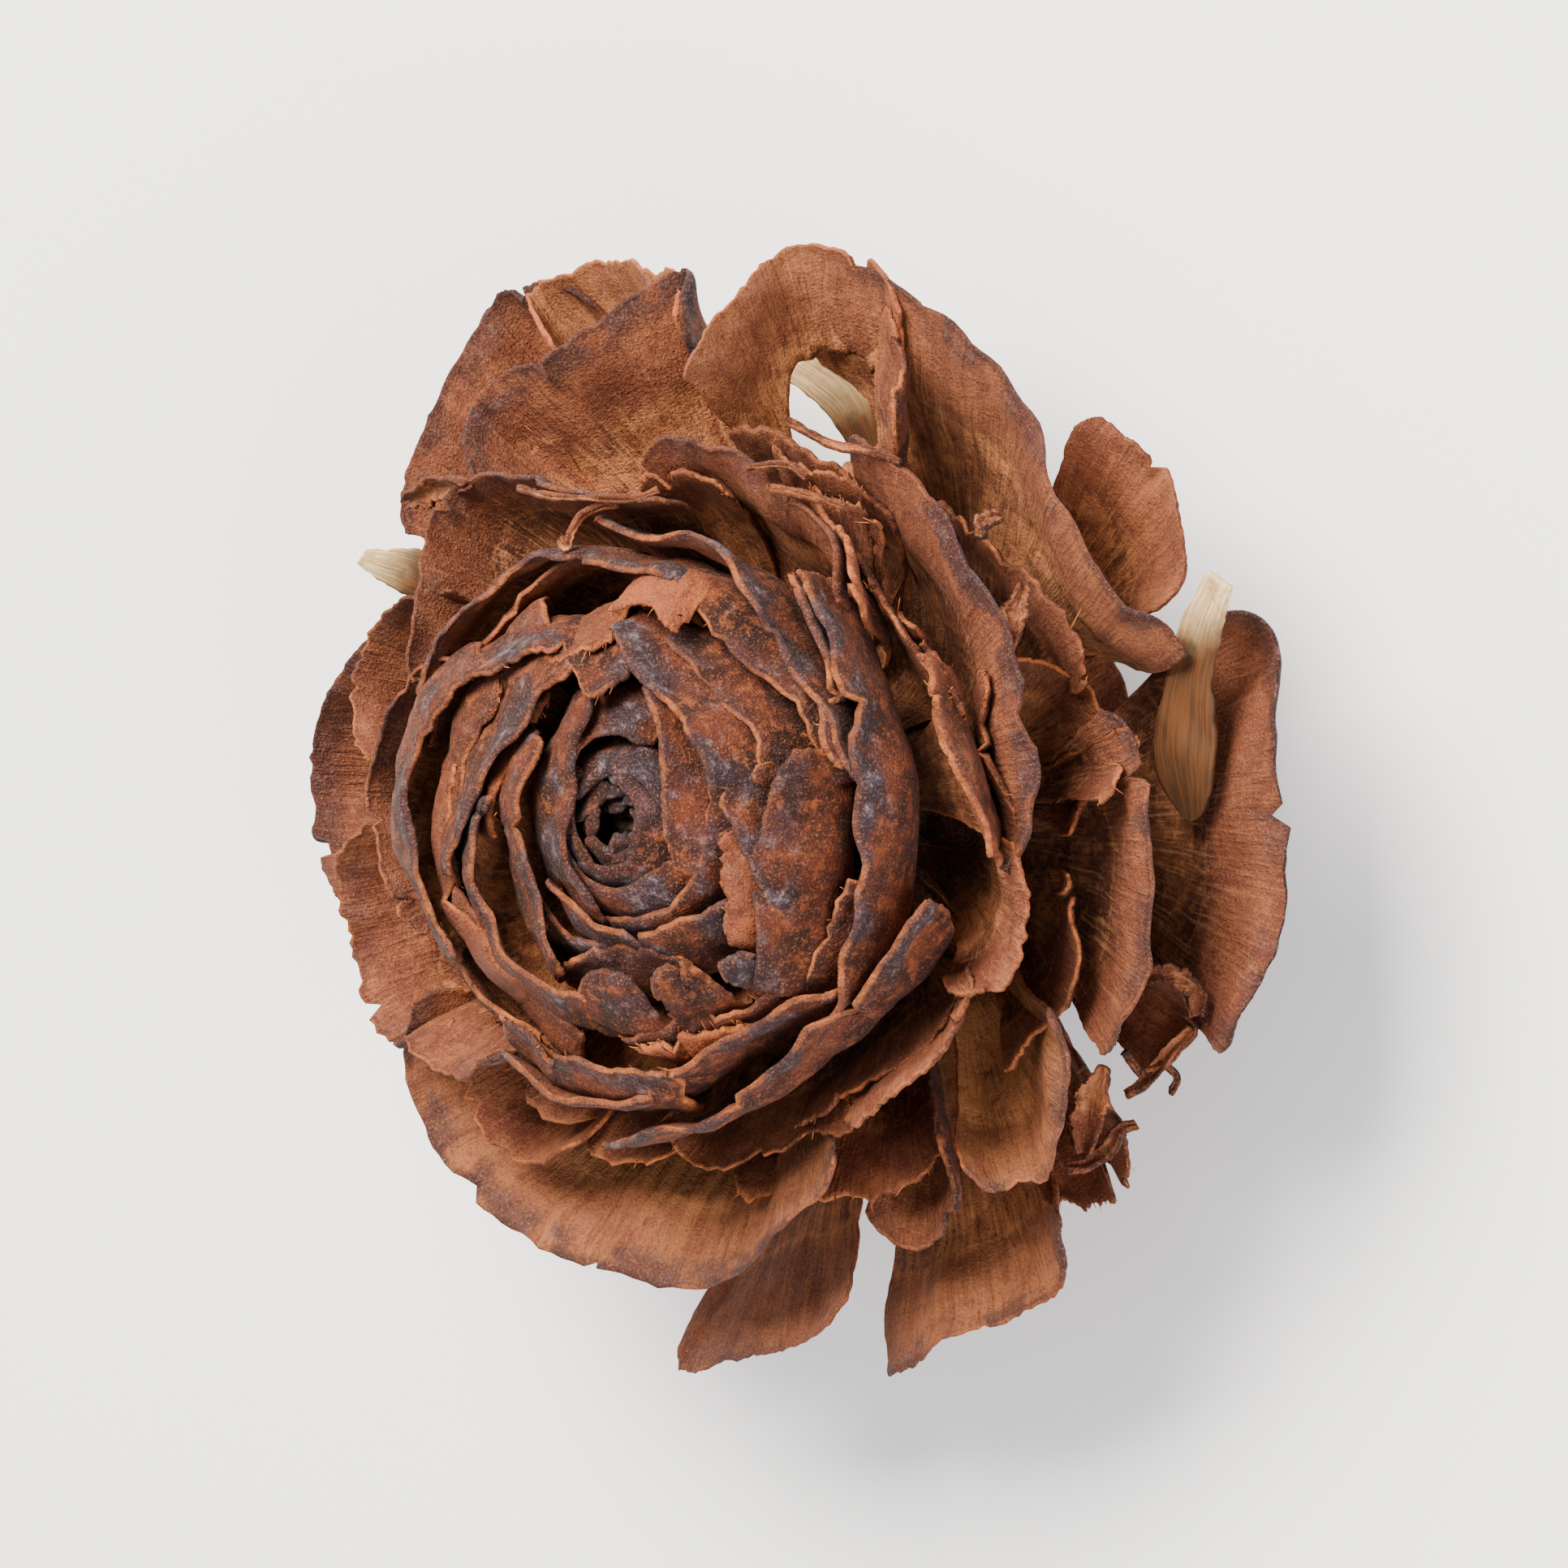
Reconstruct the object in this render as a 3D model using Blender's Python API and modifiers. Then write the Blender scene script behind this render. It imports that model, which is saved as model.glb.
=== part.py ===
"""A dry cedar rose: the top of a cedar cone, with its scales open round a closed bud.

Metres, +Z up along the cone's axis, origin at the middle of the stub's flat broken end.
"""
import math
import random

import bmesh
import bpy
from mathutils import Vector

MM = 0.001

# The dome that the rims of the whorls follow, highest at the bud.
CROWN_Z = 36.0
CROWN_DROP = 4.5
CROWN_R = 14.4
CROWN_POWER = 1.83

# The woody axis, as radius and height from the bud's crumbled tip down to the stub.
AXIS_PROFILE = (
    (0.0, 32.4),
    (0.9, 32.8),
    (1.3, 34.2),
    (2.4, 34.6),
    (3.6, 33.2),
    (4.0, 30.0),
    (4.3, 24.0),
    (5.2, 14.0),
    (5.9, 6.0),
    (5.6, 1.2),
    (5.0, 0.0),
    (0.0, 0.0),
)
AXIS_STEPS = 20

# Where scales leave the axis, and how fast they widen from claw to rim.
CLAW_R = 3.4
CLAW_TOP = 28.5
CLAW_FALL = 0.72
CLAW_LIFT = 0.4
CLAW_SPREAD = 0.24
WIDEN_POWER = 2.0
BLADE_MM = 0.8
RIM_START = 0.55

# Each kind of scale: outward bulge, reach power, rise power, rim thickness, cells along and cells across.
CENTRE = (3.0, 1.0, 0.9, 1.4, 4, 5)
BUD = (5.6, 1.0, 0.95, 1.9, 4, 6)
TILE = (5.6, 1.0, 0.95, 1.9, 4, 3)
CUP = (6.4, 1.0, 1.0, 2.0, 4, 6)
FLARE = (4.4, 1.0, 1.0, 2.0, 4, 6)
MIDDLE = (2.2, 0.9, 1.25, 1.2, 4, 5)
BLADE = (0.8, 0.95, 1.15, 1.4, 4, 5)
OPEN = (0.8, 0.9, 1.3, 0.9, 4, 6)
ARCH = (0.8, 0.9, 1.3, 0.9, 5, 7)
LOBE = (0.8, 0.9, 1.3, 0.8, 3, 4)

# Every scale that shows: name, kind, lift off the dome, torn depth, and its rim as azimuth and radius.
SCALES = (
    ("tip_right", CENTRE, -0.6, 0.0, ((105, 2.6), (60, 1.6), (10, 1.5), (320, 1.7), (280, 2.6))),
    ("tip_left", CENTRE, -0.4, 0.0, ((102, 5.2), (130, 3.6), (180, 2.3), (225, 3.0), (262, 4.4))),
    ("bud_inner_right", CENTRE, -0.2, 0.03, ((82, 7.0), (52, 4.4), (20, 3.4), (350, 3.3), (318, 4.6))),
    ("bud_inner_low", CENTRE, -0.3, 0.03, ((215, 4.5), (256, 5.4), (282, 6.0), (310, 6.6), (330, 7.4))),
    ("bud_inner_left", CENTRE, -0.2, 0.03, ((140, 5.6), (165, 5.5), (190, 5.6), (222, 6.4), (246, 8.8))),
    ("bud_right", BUD, 0.0, 0.03, ((97, 10.2), (80, 7.6), (52, 6.7), (22, 6.2), (352, 8.0), (326, 10.6))),
    ("bud_tile_low", TILE, -0.4, 0.02, ((250, 9.4), (258, 8.5), (270, 8.3), (279, 8.4))),
    ("bud_tile_middle", TILE, -0.3, 0.02, ((279, 9.0), (285, 8.5), (296, 8.4), (303, 9.0))),
    ("bud_tile_high", TILE, -0.2, 0.02, ((303, 10.0), (308, 9.6), (314, 9.9), (318, 10.8))),
    ("bud_tongue", BUD, 0.2, 0.02, ((20, 10.9), (6, 9.8), (350, 9.7), (335, 9.9), (318, 11.4), (310, 12.8))),
    ("bud_folded", BUD, 0.0, 0.04, ((151, 14.2), (134, 10.8), (118, 8.8), (105, 6.4), (88, 6.6))),
    ("bud_left_upper", BUD, 0.0, 0.03, ((108, 7.8), (135, 8.0), (160, 8.5), (184, 10.1), (197, 12.0))),
    ("bud_left_lower", BUD, 0.0, 0.03, ((172, 7.4), (192, 9.5), (214, 10.2), (238, 10.6), (256, 9.6))),
    ("bud_left_outer", BUD, 0.0, 0.03, ((139, 12.0), (155, 13.8), (175, 15.0), (192, 14.7), (214, 13.1))),
    ("ring_low_inner", BUD, 0.0, 0.05, ((226, 14.8), (243, 14.3), (260, 13.6), (279, 13.2))),
    ("ring_low", CUP, 0.0, 0.03, ((229, 18.0), (245, 16.6), (262, 15.4), (280, 13.4), (300, 13.2), (322, 14.8))),
    ("ring_top", FLARE, 0.0, 0.03, ((109, 17.6), (97, 16.2), (72, 14.6), (47, 12.7), (26, 12.6), (4, 14.2))),
    ("ring_right", CUP, 0.0, 0.03, ((58, 16.2), (38, 14.4), (12, 14.2), (348, 14.2), (326, 15.2), (305, 16.6))),
    ("ring_low_right", CUP, 0.0, 0.03, ((254, 18.8), (272, 17.0), (295, 16.2), (320, 15.9), (345, 17.4))),
    ("ring_upper_left", FLARE, 0.0, 0.03, ((161, 16.2), (146, 17.8), (124, 16.4), (104, 14.0), (78, 12.4))),
    ("left_dark", MIDDLE, 0.0, 0.03, ((150, 17.0), (165, 20.4), (177, 21.7), (190, 20.4), (202, 19.4))),
    ("left_upper", MIDDLE, 0.0, 0.04, ((141, 21.0), (152, 24.8), (163, 26.5), (173, 23.4))),
    ("left_outer", OPEN, 0.0, 0.01, ((154, 25.6), (166, 29.6), (177, 31.2), (186, 29.0), (193, 26.6))),
    ("left_low", OPEN, 1.0, 0.02, ((180, 24.6), (192, 26.8), (204, 27.2), (217, 23.9), (233, 18.4))),
    ("top_left_dark", MIDDLE, 1.0, 0.02, ((156, 18.4), (142, 23.4), (133, 25.6), (120, 22.0), (106, 18.6), (90, 18.0))),
    ("top_left_big", OPEN, 1.0, 0.01, ((130, 27.6), (126, 31.0), (115, 28.4), (106, 29.4), (98, 28.8), (94, 26.0))),
    ("top_left_back", OPEN, 0.5, 0.01, ((147, 31.0), (137, 33.8), (127, 37.2), (122, 36.4), (116, 34.0))),
    ("top_back", OPEN, 1.5, 0.05, ((127, 34.6), (121, 36.2), (114, 35.0), (108, 33.2), (104, 31.6))),
    ("top_specked", BLADE, 0.0, 0.02, ((101, 21.6), (90, 21.8), (76, 20.2), (62, 19.0), (46, 17.0))),
    ("top_arch", ARCH, 0.0, 0.03, ((99, 25.4), (94, 29.6), (90, 32.0), (82, 31.8), (74, 30.0))),
    ("right_blade", BLADE, 0.0, 0.02, ((69, 24.6), (52, 22.9), (30, 22.3), (10, 21.8), (350, 21.4))),
    ("top_right_big", OPEN, 0.0, 0.0, ((93, 32.4), (78, 30.8), (60, 29.4), (43, 27.6), (28, 26.9), (17, 29.4))),
    ("top_right_lobe", LOBE, -2.0, 0.06, ((80, 28.4), (69, 27.5), (60, 25.4), (50, 23.0))),
    ("back_right", OPEN, -4.0, 0.04, ((49, 27.6), (44, 29.2), (37, 29.8), (30, 28.8), (25, 26.8))),
    ("right_big", OPEN, -0.6, 0.0, ((22, 30.6), (17, 32.2), (2, 31.8), (347, 32.0), (334, 31.8))),
    ("right_inner", OPEN, 0.0, 0.02, ((14, 25.6), (4, 26.6), (350, 27.2), (338, 27.7), (329, 27.8))),
    ("right_stump", LOBE, -8.0, 0.04, ((29, 19.4), (20, 22.2), (8, 22.4), (356, 20.6))),
    ("right_curl", LOBE, -5.0, 0.03, ((341, 26.0), (337, 28.2), (332, 28.2), (327, 27.4))),
    ("right_small", MIDDLE, -0.5, 0.06, ((353, 20.4), (345, 22.3), (337, 22.1), (328, 20.2))),
    ("right_thin", BLADE, -0.5, 0.05, ((30, 18.2), (17, 18.2), (4, 18.6), (352, 19.4))),
    ("right_lobed", BLADE, -1.5, 0.08, ((50, 18.0), (40, 18.0), (28, 18.6), (16, 19.4))),
    ("low_right_face", OPEN, -0.5, 0.06, ((336, 24.0), (328, 26.0), (320, 27.4), (312, 28.0))),
    ("low_right_strip", BLADE, 0.0, 0.03, ((333, 21.2), (322, 21.3), (309, 21.1), (298, 21.2))),
    ("low_right_big", OPEN, -0.5, 0.03, ((283, 28.6), (285, 32.4), (292, 31.8), (301, 32.2), (310, 30.6))),
    ("low_right_lobe", LOBE, -3.5, 0.04, ((306, 22.0), (300, 25.6), (293, 26.4), (289, 24.2))),
    ("low_right_hook", OPEN, -4.0, 0.08, ((326, 26.0), (319, 29.6), (312, 30.4), (306, 28.6))),
    ("low_big", OPEN, 0.0, 0.01, ((207, 23.6), (220, 28.2), (236, 28.7), (250, 27.2), (266, 26.6), (280, 23.6), (293, 21.4))),
    ("low_back", OPEN, -0.5, 0.03, ((255, 31.4), (261, 32.6), (268, 31.2), (276, 29.8), (282, 27.6))),
    ("low_lobe_left", LOBE, -2.0, 0.05, ((212, 22.6), (222, 24.2), (234, 25.4), (246, 21.0))),
    ("low_lobe_right", LOBE, -3.0, 0.06, ((256, 19.6), (268, 20.6), (284, 19.8), (297, 20.2))),
)

# Cells torn right through a scale, as its rows from the claw and its columns.
TORN_HOLES = {"top_arch": ((3,), (2, 3, 4))}

# Scales that the others hide: a falling spiral under the open whorls, by a rule with seeded draws.
HIDDEN_COUNT = 6
HIDDEN_TURN = 137.5
HIDDEN_START = 20.0
HIDDEN_CLAW_Z = (3.4, 8.4)
HIDDEN_R = (17.0, 20.5)
HIDDEN_RIM_Z = (3.0, 11.0)
HIDDEN_HALF = 24.0
HIDDEN_TORN = 0.05

# The three lowest scales bend down to the ground and steady the stub.
REST_AZ = (350.0, 110.0, 230.0)
REST_R = 19.5
REST_Z = 0.3
REST_CLAW_Z = 3.0
REST_HALF = 17.0

SEED = 41

# Loose seed wings held between the scales: name, then each long edge as azimuth, radius and height.
WING_MM = 0.7
WING_CELLS = (5, 2)
WINGS = (
    (
        "seed_wing_right",
        ((4, 24.6, 14.2), (8, 27.0, 15.6), (15, 28.2, 16.6), (19, 31.0, 18.6), (21, 32.6, 19.4)),
        ((4, 22.6, 13.6), (9, 23.2, 14.2), (15, 25.2, 15.4), (20, 28.4, 17.6), (23, 32.0, 19.4)),
    ),
    (
        "seed_wing_top",
        ((97, 24.6, 11.6), (93, 23.2, 11.0), (88, 20.4, 9.8), (86, 18.0, 9.0)),
        ((92, 25.4, 11.9), (86, 24.2, 11.4), (82, 21.4, 10.2), (83, 18.2, 9.1)),
    ),
    (
        "seed_wing_left",
        ((151, 20.0, 15.6), (152, 24.0, 17.6), (152, 27.0, 19.2), (151, 29.4, 20.4)),
        ((147, 20.0, 15.6), (145, 24.0, 17.6), (146, 27.0, 19.2), (149, 29.2, 20.4)),
    ),
)

TAN = (0.434, 0.162, 0.065)
CREAM = (0.753, 0.584, 0.402)


def clear_scene():
    for item in list(bpy.data.objects):
        bpy.data.objects.remove(item)
    for item in list(bpy.data.collections):
        bpy.data.collections.remove(item)


def make_material(name, colour, roughness):
    mat = bpy.data.materials.new(name)
    mat.use_nodes = True
    shader = mat.node_tree.nodes["Principled BSDF"]
    shader.inputs["Base Color"].default_value = (*colour, 1.0)
    shader.inputs["Roughness"].default_value = roughness
    return mat


def make_object(name, mesh_edit, collection):
    mesh = bpy.data.meshes.new(name)
    mesh_edit.to_mesh(mesh)
    mesh_edit.free()
    item = bpy.data.objects.new(name, mesh)
    collection.objects.link(item)
    return item


def apply_modifiers(item):
    graph = bpy.context.evaluated_depsgraph_get()
    graph.update()
    mesh = bpy.data.meshes.new_from_object(item.evaluated_get(graph))
    old = item.data
    item.modifiers.clear()
    item.data = mesh
    bpy.data.meshes.remove(old)


def crown(radius):
    return CROWN_Z - CROWN_DROP * (radius / CROWN_R) ** CROWN_POWER


def unwrap(stations):
    """Azimuths made to run on without a jump at the full turn."""
    out = [list(stations[0])]
    for station in stations[1:]:
        az = station[0]
        while az - out[-1][0] > 180:
            az -= 360
        while az - out[-1][0] < -180:
            az += 360
        out.append([az, *station[1:]])
    return out


def along(stations, t):
    """A smooth curve through the stations, at t from 0 to 1."""
    last = len(stations) - 1
    place = min(t * last, last - 1e-9)
    k = int(place)
    f = place - k
    p1, p2 = stations[k], stations[k + 1]
    p0 = stations[k - 1] if k else [2 * a - b for a, b in zip(p1, p2)]
    p3 = stations[k + 2] if k + 2 <= last else [2 * a - b for a, b in zip(p2, p1)]
    return [
        0.5 * (2 * b + (c - a) * f + (2 * a - 5 * b + 4 * c - d) * f * f + (3 * b - a - 3 * c + d) * f ** 3)
        for a, b, c, d in zip(p0, p1, p2, p3)
    ]


def polar(az, radius, height):
    turn = math.radians(az)
    return Vector((radius * math.cos(turn), radius * math.sin(turn), height)) * MM


def blade_point(rim, kind, claw_z, s, t):
    """A scale's middle face: s runs from the claw in the axis to the rim, t from side to side."""
    bulge, reach, rise = kind[:3]
    az_rim, r_rim, z_rim = along(rim, t)
    middle = 0.5 * (rim[0][0] + rim[-1][0])
    spread = 1 - (1 - CLAW_SPREAD) * (1 - s) ** WIDEN_POWER
    az = middle + (az_rim - middle) * spread
    radius = CLAW_R + (r_rim - CLAW_R) * s ** reach + bulge * math.sin(math.pi * s)
    return polar(az, radius, claw_z + (z_rim - claw_z) * s ** rise)


def make_scale(name, kind, rim, claw_z, depth, draw, collection):
    rim = unwrap(rim)
    rim_mm, rows, columns = kind[3:]
    edit = bmesh.new()
    bmesh.ops.create_grid(edit, x_segments=columns, y_segments=rows, size=0.5)
    if name in TORN_HOLES:
        lost_rows, lost_columns = TORN_HOLES[name]
        lost = [
            face for face in edit.faces
            if int((face.calc_center_median().y + 0.5) * rows) in lost_rows
            and int((face.calc_center_median().x + 0.5) * columns) in lost_columns
        ]
        bmesh.ops.delete(edit, geom=lost, context="FACES")
    torn = [depth * draw.random() for _ in range(columns + 1)]
    weights = []
    for vert in edit.verts:
        t = vert.co.x + 0.5
        s = vert.co.y + 0.5
        if s > 1 - 0.5 / rows:
            s -= torn[round(t * columns)]
        vert.co = blade_point(rim, kind, claw_z, s, t)
        swell = max(0.0, (s - RIM_START) / (1 - RIM_START))
        weights.append((BLADE_MM + (rim_mm - BLADE_MM) * swell) / rim_mm)
    bmesh.ops.triangulate(edit, faces=edit.faces[:])
    item = make_object(name, edit, collection)
    group = item.vertex_groups.new(name="thickness")
    for index, weight in enumerate(weights):
        group.add([index], weight, "REPLACE")
    solid = item.modifiers.new("thickness", "SOLIDIFY")
    solid.thickness = rim_mm * MM
    solid.offset = 0.0
    solid.vertex_group = group.name
    apply_modifiers(item)
    return item


def press_flat(item):
    """Flattens what is bent down below the ground onto it."""
    for vert in item.data.vertices:
        vert.co.z = max(vert.co.z, 0.0)


def make_wing(name, first, second, collection):
    """A seed's wing: a thin skin between its two long edges."""
    edit = bmesh.new()
    bmesh.ops.create_grid(edit, x_segments=WING_CELLS[1], y_segments=WING_CELLS[0], size=0.5)
    for vert in edit.verts:
        t = vert.co.y + 0.5
        start, end = polar(*along(first, t)), polar(*along(second, t))
        vert.co = start.lerp(end, vert.co.x + 0.5)
    bmesh.ops.triangulate(edit, faces=edit.faces[:])
    item = make_object(name, edit, collection)
    solid = item.modifiers.new("thickness", "SOLIDIFY")
    solid.thickness = WING_MM * MM
    solid.offset = 0.0
    apply_modifiers(item)
    finish(item, make_material(name + "_skin", CREAM, 0.6))
    return item


def make_axis(collection):
    edit = bmesh.new()
    verts = [edit.verts.new(Vector((r, 0, z)) * MM) for r, z in AXIS_PROFILE]
    for a, b in zip(verts, verts[1:]):
        edit.edges.new((a, b))
    item = make_object("rose_cone", edit, collection)
    turn = item.modifiers.new("turned", "SCREW")
    turn.steps = AXIS_STEPS
    turn.render_steps = AXIS_STEPS
    turn.use_merge_vertices = True
    turn.merge_threshold = 0.00001
    turn.use_normal_calculate = True
    apply_modifiers(item)
    edit = bmesh.new()
    edit.from_mesh(item.data)
    bmesh.ops.recalc_face_normals(edit, faces=edit.faces[:])
    bmesh.ops.triangulate(edit, faces=edit.faces[:])
    edit.to_mesh(item.data)
    edit.free()
    return item


def fuse(item, collection):
    """Joins every scale of the collection to the axis as one body."""
    joint = item.modifiers.new("fused", "BOOLEAN")
    joint.operation = "UNION"
    joint.operand_type = "COLLECTION"
    joint.collection = collection
    joint.solver = "MANIFOLD"
    apply_modifiers(item)
    for operand in list(collection.objects):
        bpy.data.objects.remove(operand)


def keep_body(item):
    """Keeps the largest shell; sealed hollows are filled and loose scraps are dropped."""
    edit = bmesh.new()
    edit.from_mesh(item.data)
    edit.faces.ensure_lookup_table()
    seen = set()
    shells = []
    for face in edit.faces:
        if face.index in seen:
            continue
        seen.add(face.index)
        shell = [face]
        for member in shell:
            for edge in member.edges:
                for other in edge.link_faces:
                    if other.index not in seen:
                        seen.add(other.index)
                        shell.append(other)
        shells.append(shell)
    shells.sort(key=len)
    drop = [face for shell in shells[:-1] for face in shell]
    bmesh.ops.delete(edit, geom=drop, context="FACES")
    straight = [vert for vert in edit.verts if len(vert.link_edges) == 2]
    bmesh.ops.dissolve_verts(edit, verts=straight)
    bmesh.ops.triangulate(edit, faces=edit.faces[:])
    edit.to_mesh(item.data)
    edit.free()


def finish(item, mat):
    item.data.materials.clear()
    item.data.materials.append(mat)
    for face in item.data.polygons:
        face.material_index = 0
        face.use_smooth = True


def make_cone(collection):
    draw = random.Random(SEED)
    scales = bpy.data.collections.new("scales")
    bpy.context.scene.collection.children.link(scales)
    item = make_axis(collection)
    for name, kind, lift, depth, stations in SCALES:
        rim = [(az, r, crown(r) + lift) for az, r in stations]
        mean_r = sum(r for _, r in stations) / len(stations)
        claw_z = CLAW_TOP - CLAW_FALL * mean_r + CLAW_LIFT * lift
        make_scale(name, kind, rim, claw_z, depth, draw, scales)
    for k in range(HIDDEN_COUNT):
        share = k / (HIDDEN_COUNT - 1)
        az = HIDDEN_START + HIDDEN_TURN * k + draw.uniform(-6, 6)
        r = HIDDEN_R[0] + (HIDDEN_R[1] - HIDDEN_R[0]) * share
        z = HIDDEN_RIM_Z[0] + (HIDDEN_RIM_Z[1] - HIDDEN_RIM_Z[0]) * share
        claw_z = HIDDEN_CLAW_Z[0] + (HIDDEN_CLAW_Z[1] - HIDDEN_CLAW_Z[0]) * share
        rim = [(az + HIDDEN_HALF * side, r * (1 - 0.1 * side * side), z) for side in (-1, -0.4, 0.4, 1)]
        make_scale("hidden_%d" % k, LOBE, rim, claw_z, HIDDEN_TORN, draw, scales)
    for k, az in enumerate(REST_AZ):
        rim = [(az + REST_HALF * side, REST_R * (1 - 0.12 * side * side), REST_Z) for side in (-1, -0.4, 0.4, 1)]
        press_flat(make_scale("rest_%d" % k, LOBE, rim, REST_CLAW_Z, 0.0, draw, scales))
    fuse(item, scales)
    bpy.data.collections.remove(scales)
    keep_body(item)
    finish(item, make_material("cedar_scale", TAN, 0.78))
    return item


def main():
    clear_scene()
    cone = bpy.data.collections.new("cedar_rose_cone")
    bpy.context.scene.collection.children.link(cone)
    make_cone(cone)
    for name, first, second in WINGS:
        make_wing(name, first, second, cone)


main()
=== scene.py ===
"""The cedar rose as it looks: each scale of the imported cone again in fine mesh, torn, fibrous and velvety."""

import math
import random
from collections import namedtuple

import bmesh
import bpy
from mathutils import Matrix, Vector, noise


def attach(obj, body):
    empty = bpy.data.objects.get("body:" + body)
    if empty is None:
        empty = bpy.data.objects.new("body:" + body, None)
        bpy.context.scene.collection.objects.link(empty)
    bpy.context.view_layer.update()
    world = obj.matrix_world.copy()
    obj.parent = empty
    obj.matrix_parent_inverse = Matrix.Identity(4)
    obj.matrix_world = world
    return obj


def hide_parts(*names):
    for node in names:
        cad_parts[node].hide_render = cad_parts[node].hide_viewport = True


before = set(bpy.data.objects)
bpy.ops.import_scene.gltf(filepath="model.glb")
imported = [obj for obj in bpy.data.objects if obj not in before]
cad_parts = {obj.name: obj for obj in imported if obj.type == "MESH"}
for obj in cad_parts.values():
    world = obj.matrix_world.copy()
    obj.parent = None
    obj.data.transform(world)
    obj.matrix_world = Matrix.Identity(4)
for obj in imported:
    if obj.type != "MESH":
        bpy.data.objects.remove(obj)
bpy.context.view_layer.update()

# The cone's sizes are in mm, which MM turns into the scene's metres, and its turns are in degrees.
MM = 0.001

# The dome that the rims of the whorls follow, highest at the bud.
CROWN_Z = 36.0
CROWN_DROP = 4.5
CROWN_R = 14.4
CROWN_POWER = 1.83

# Where scales leave the axis, and how fast they widen from claw to rim.
CLAW_R = 3.4
CLAW_TOP = 28.5
CLAW_FALL = 0.72
CLAW_LIFT = 0.4
CLAW_SPREAD = 0.24
WIDEN_POWER = 2.0

# A scale bulges by the middle value, by the swing less on the camera's side and more on the far side. The
# power is how late a flare comes.
BULGE_MIDDLE = 1.1
BULGE_SWING = 0.2
FLARE_POWER = 8

# Each kind of scale. Its bulge is a share of that of a scale that leans 45 degrees inward at the rim, and its
# flare is the share of its reach that comes near the rim. Reach and rise are powers. Blade and rim are
# thicknesses, shoulder is the width of the fall to the lip, and crust is how lumpy its outer face is.
Kind = namedtuple("Kind", "bulge flare reach rise blade rim shoulder crust rows columns")
CENTRE = Kind(0.85, 0.08, 1.0, 0.9, 0.45, 0.4, 0.5, 0.3, 30, 44)
BUD = Kind(0.85, 0.1, 1.0, 0.95, 0.45, 0.4, 0.5, 0.3, 40, 70)
TILE = Kind(1.0, 0.05, 1.0, 0.95, 0.5, 0.6, 0.7, 0.4, 36, 30)
CUP = Kind(0.68, 0.1, 1.0, 1.0, 0.45, 0.5, 0.7, 0.2, 44, 90)
FLARE = Kind(0.6, 0.12, 1.0, 1.0, 0.45, 0.5, 0.7, 0.2, 44, 90)
MIDDLE = Kind(0.25, 0.05, 0.85, 1.35, 0.4, 0.35, 0.5, 0.15, 36, 72)
BLADE = Kind(0.1, 0.16, 0.55, 1.5, 0.4, 0.45, 0.6, 0.15, 38, 80)
OPEN = Kind(0.07, 0.04, 0.85, 1.35, 0.4, 0.35, 0.45, 0.1, 40, 96)
STEEP = Kind(0.1, 0.1, 0.6, 1.6, 0.4, 0.4, 0.5, 0.1, 38, 90)
ARCH = Kind(0.07, 0.0, 0.85, 1.35, 0.4, 0.35, 0.4, 0.1, 56, 90)
LOBE = Kind(0.07, 0.0, 0.9, 1.3, 0.35, 0.3, 0.4, 0.1, 30, 44)
CREASED = Kind(0.07, 0.04, 0.85, 1.35, 0.4, 0.4, 0.45, 0.5, 40, 96)
CRUMB = Kind(0.6, 0.15, 1.0, 0.95, 0.3, 0.35, 0.3, 0.5, 12, 16)

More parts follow.
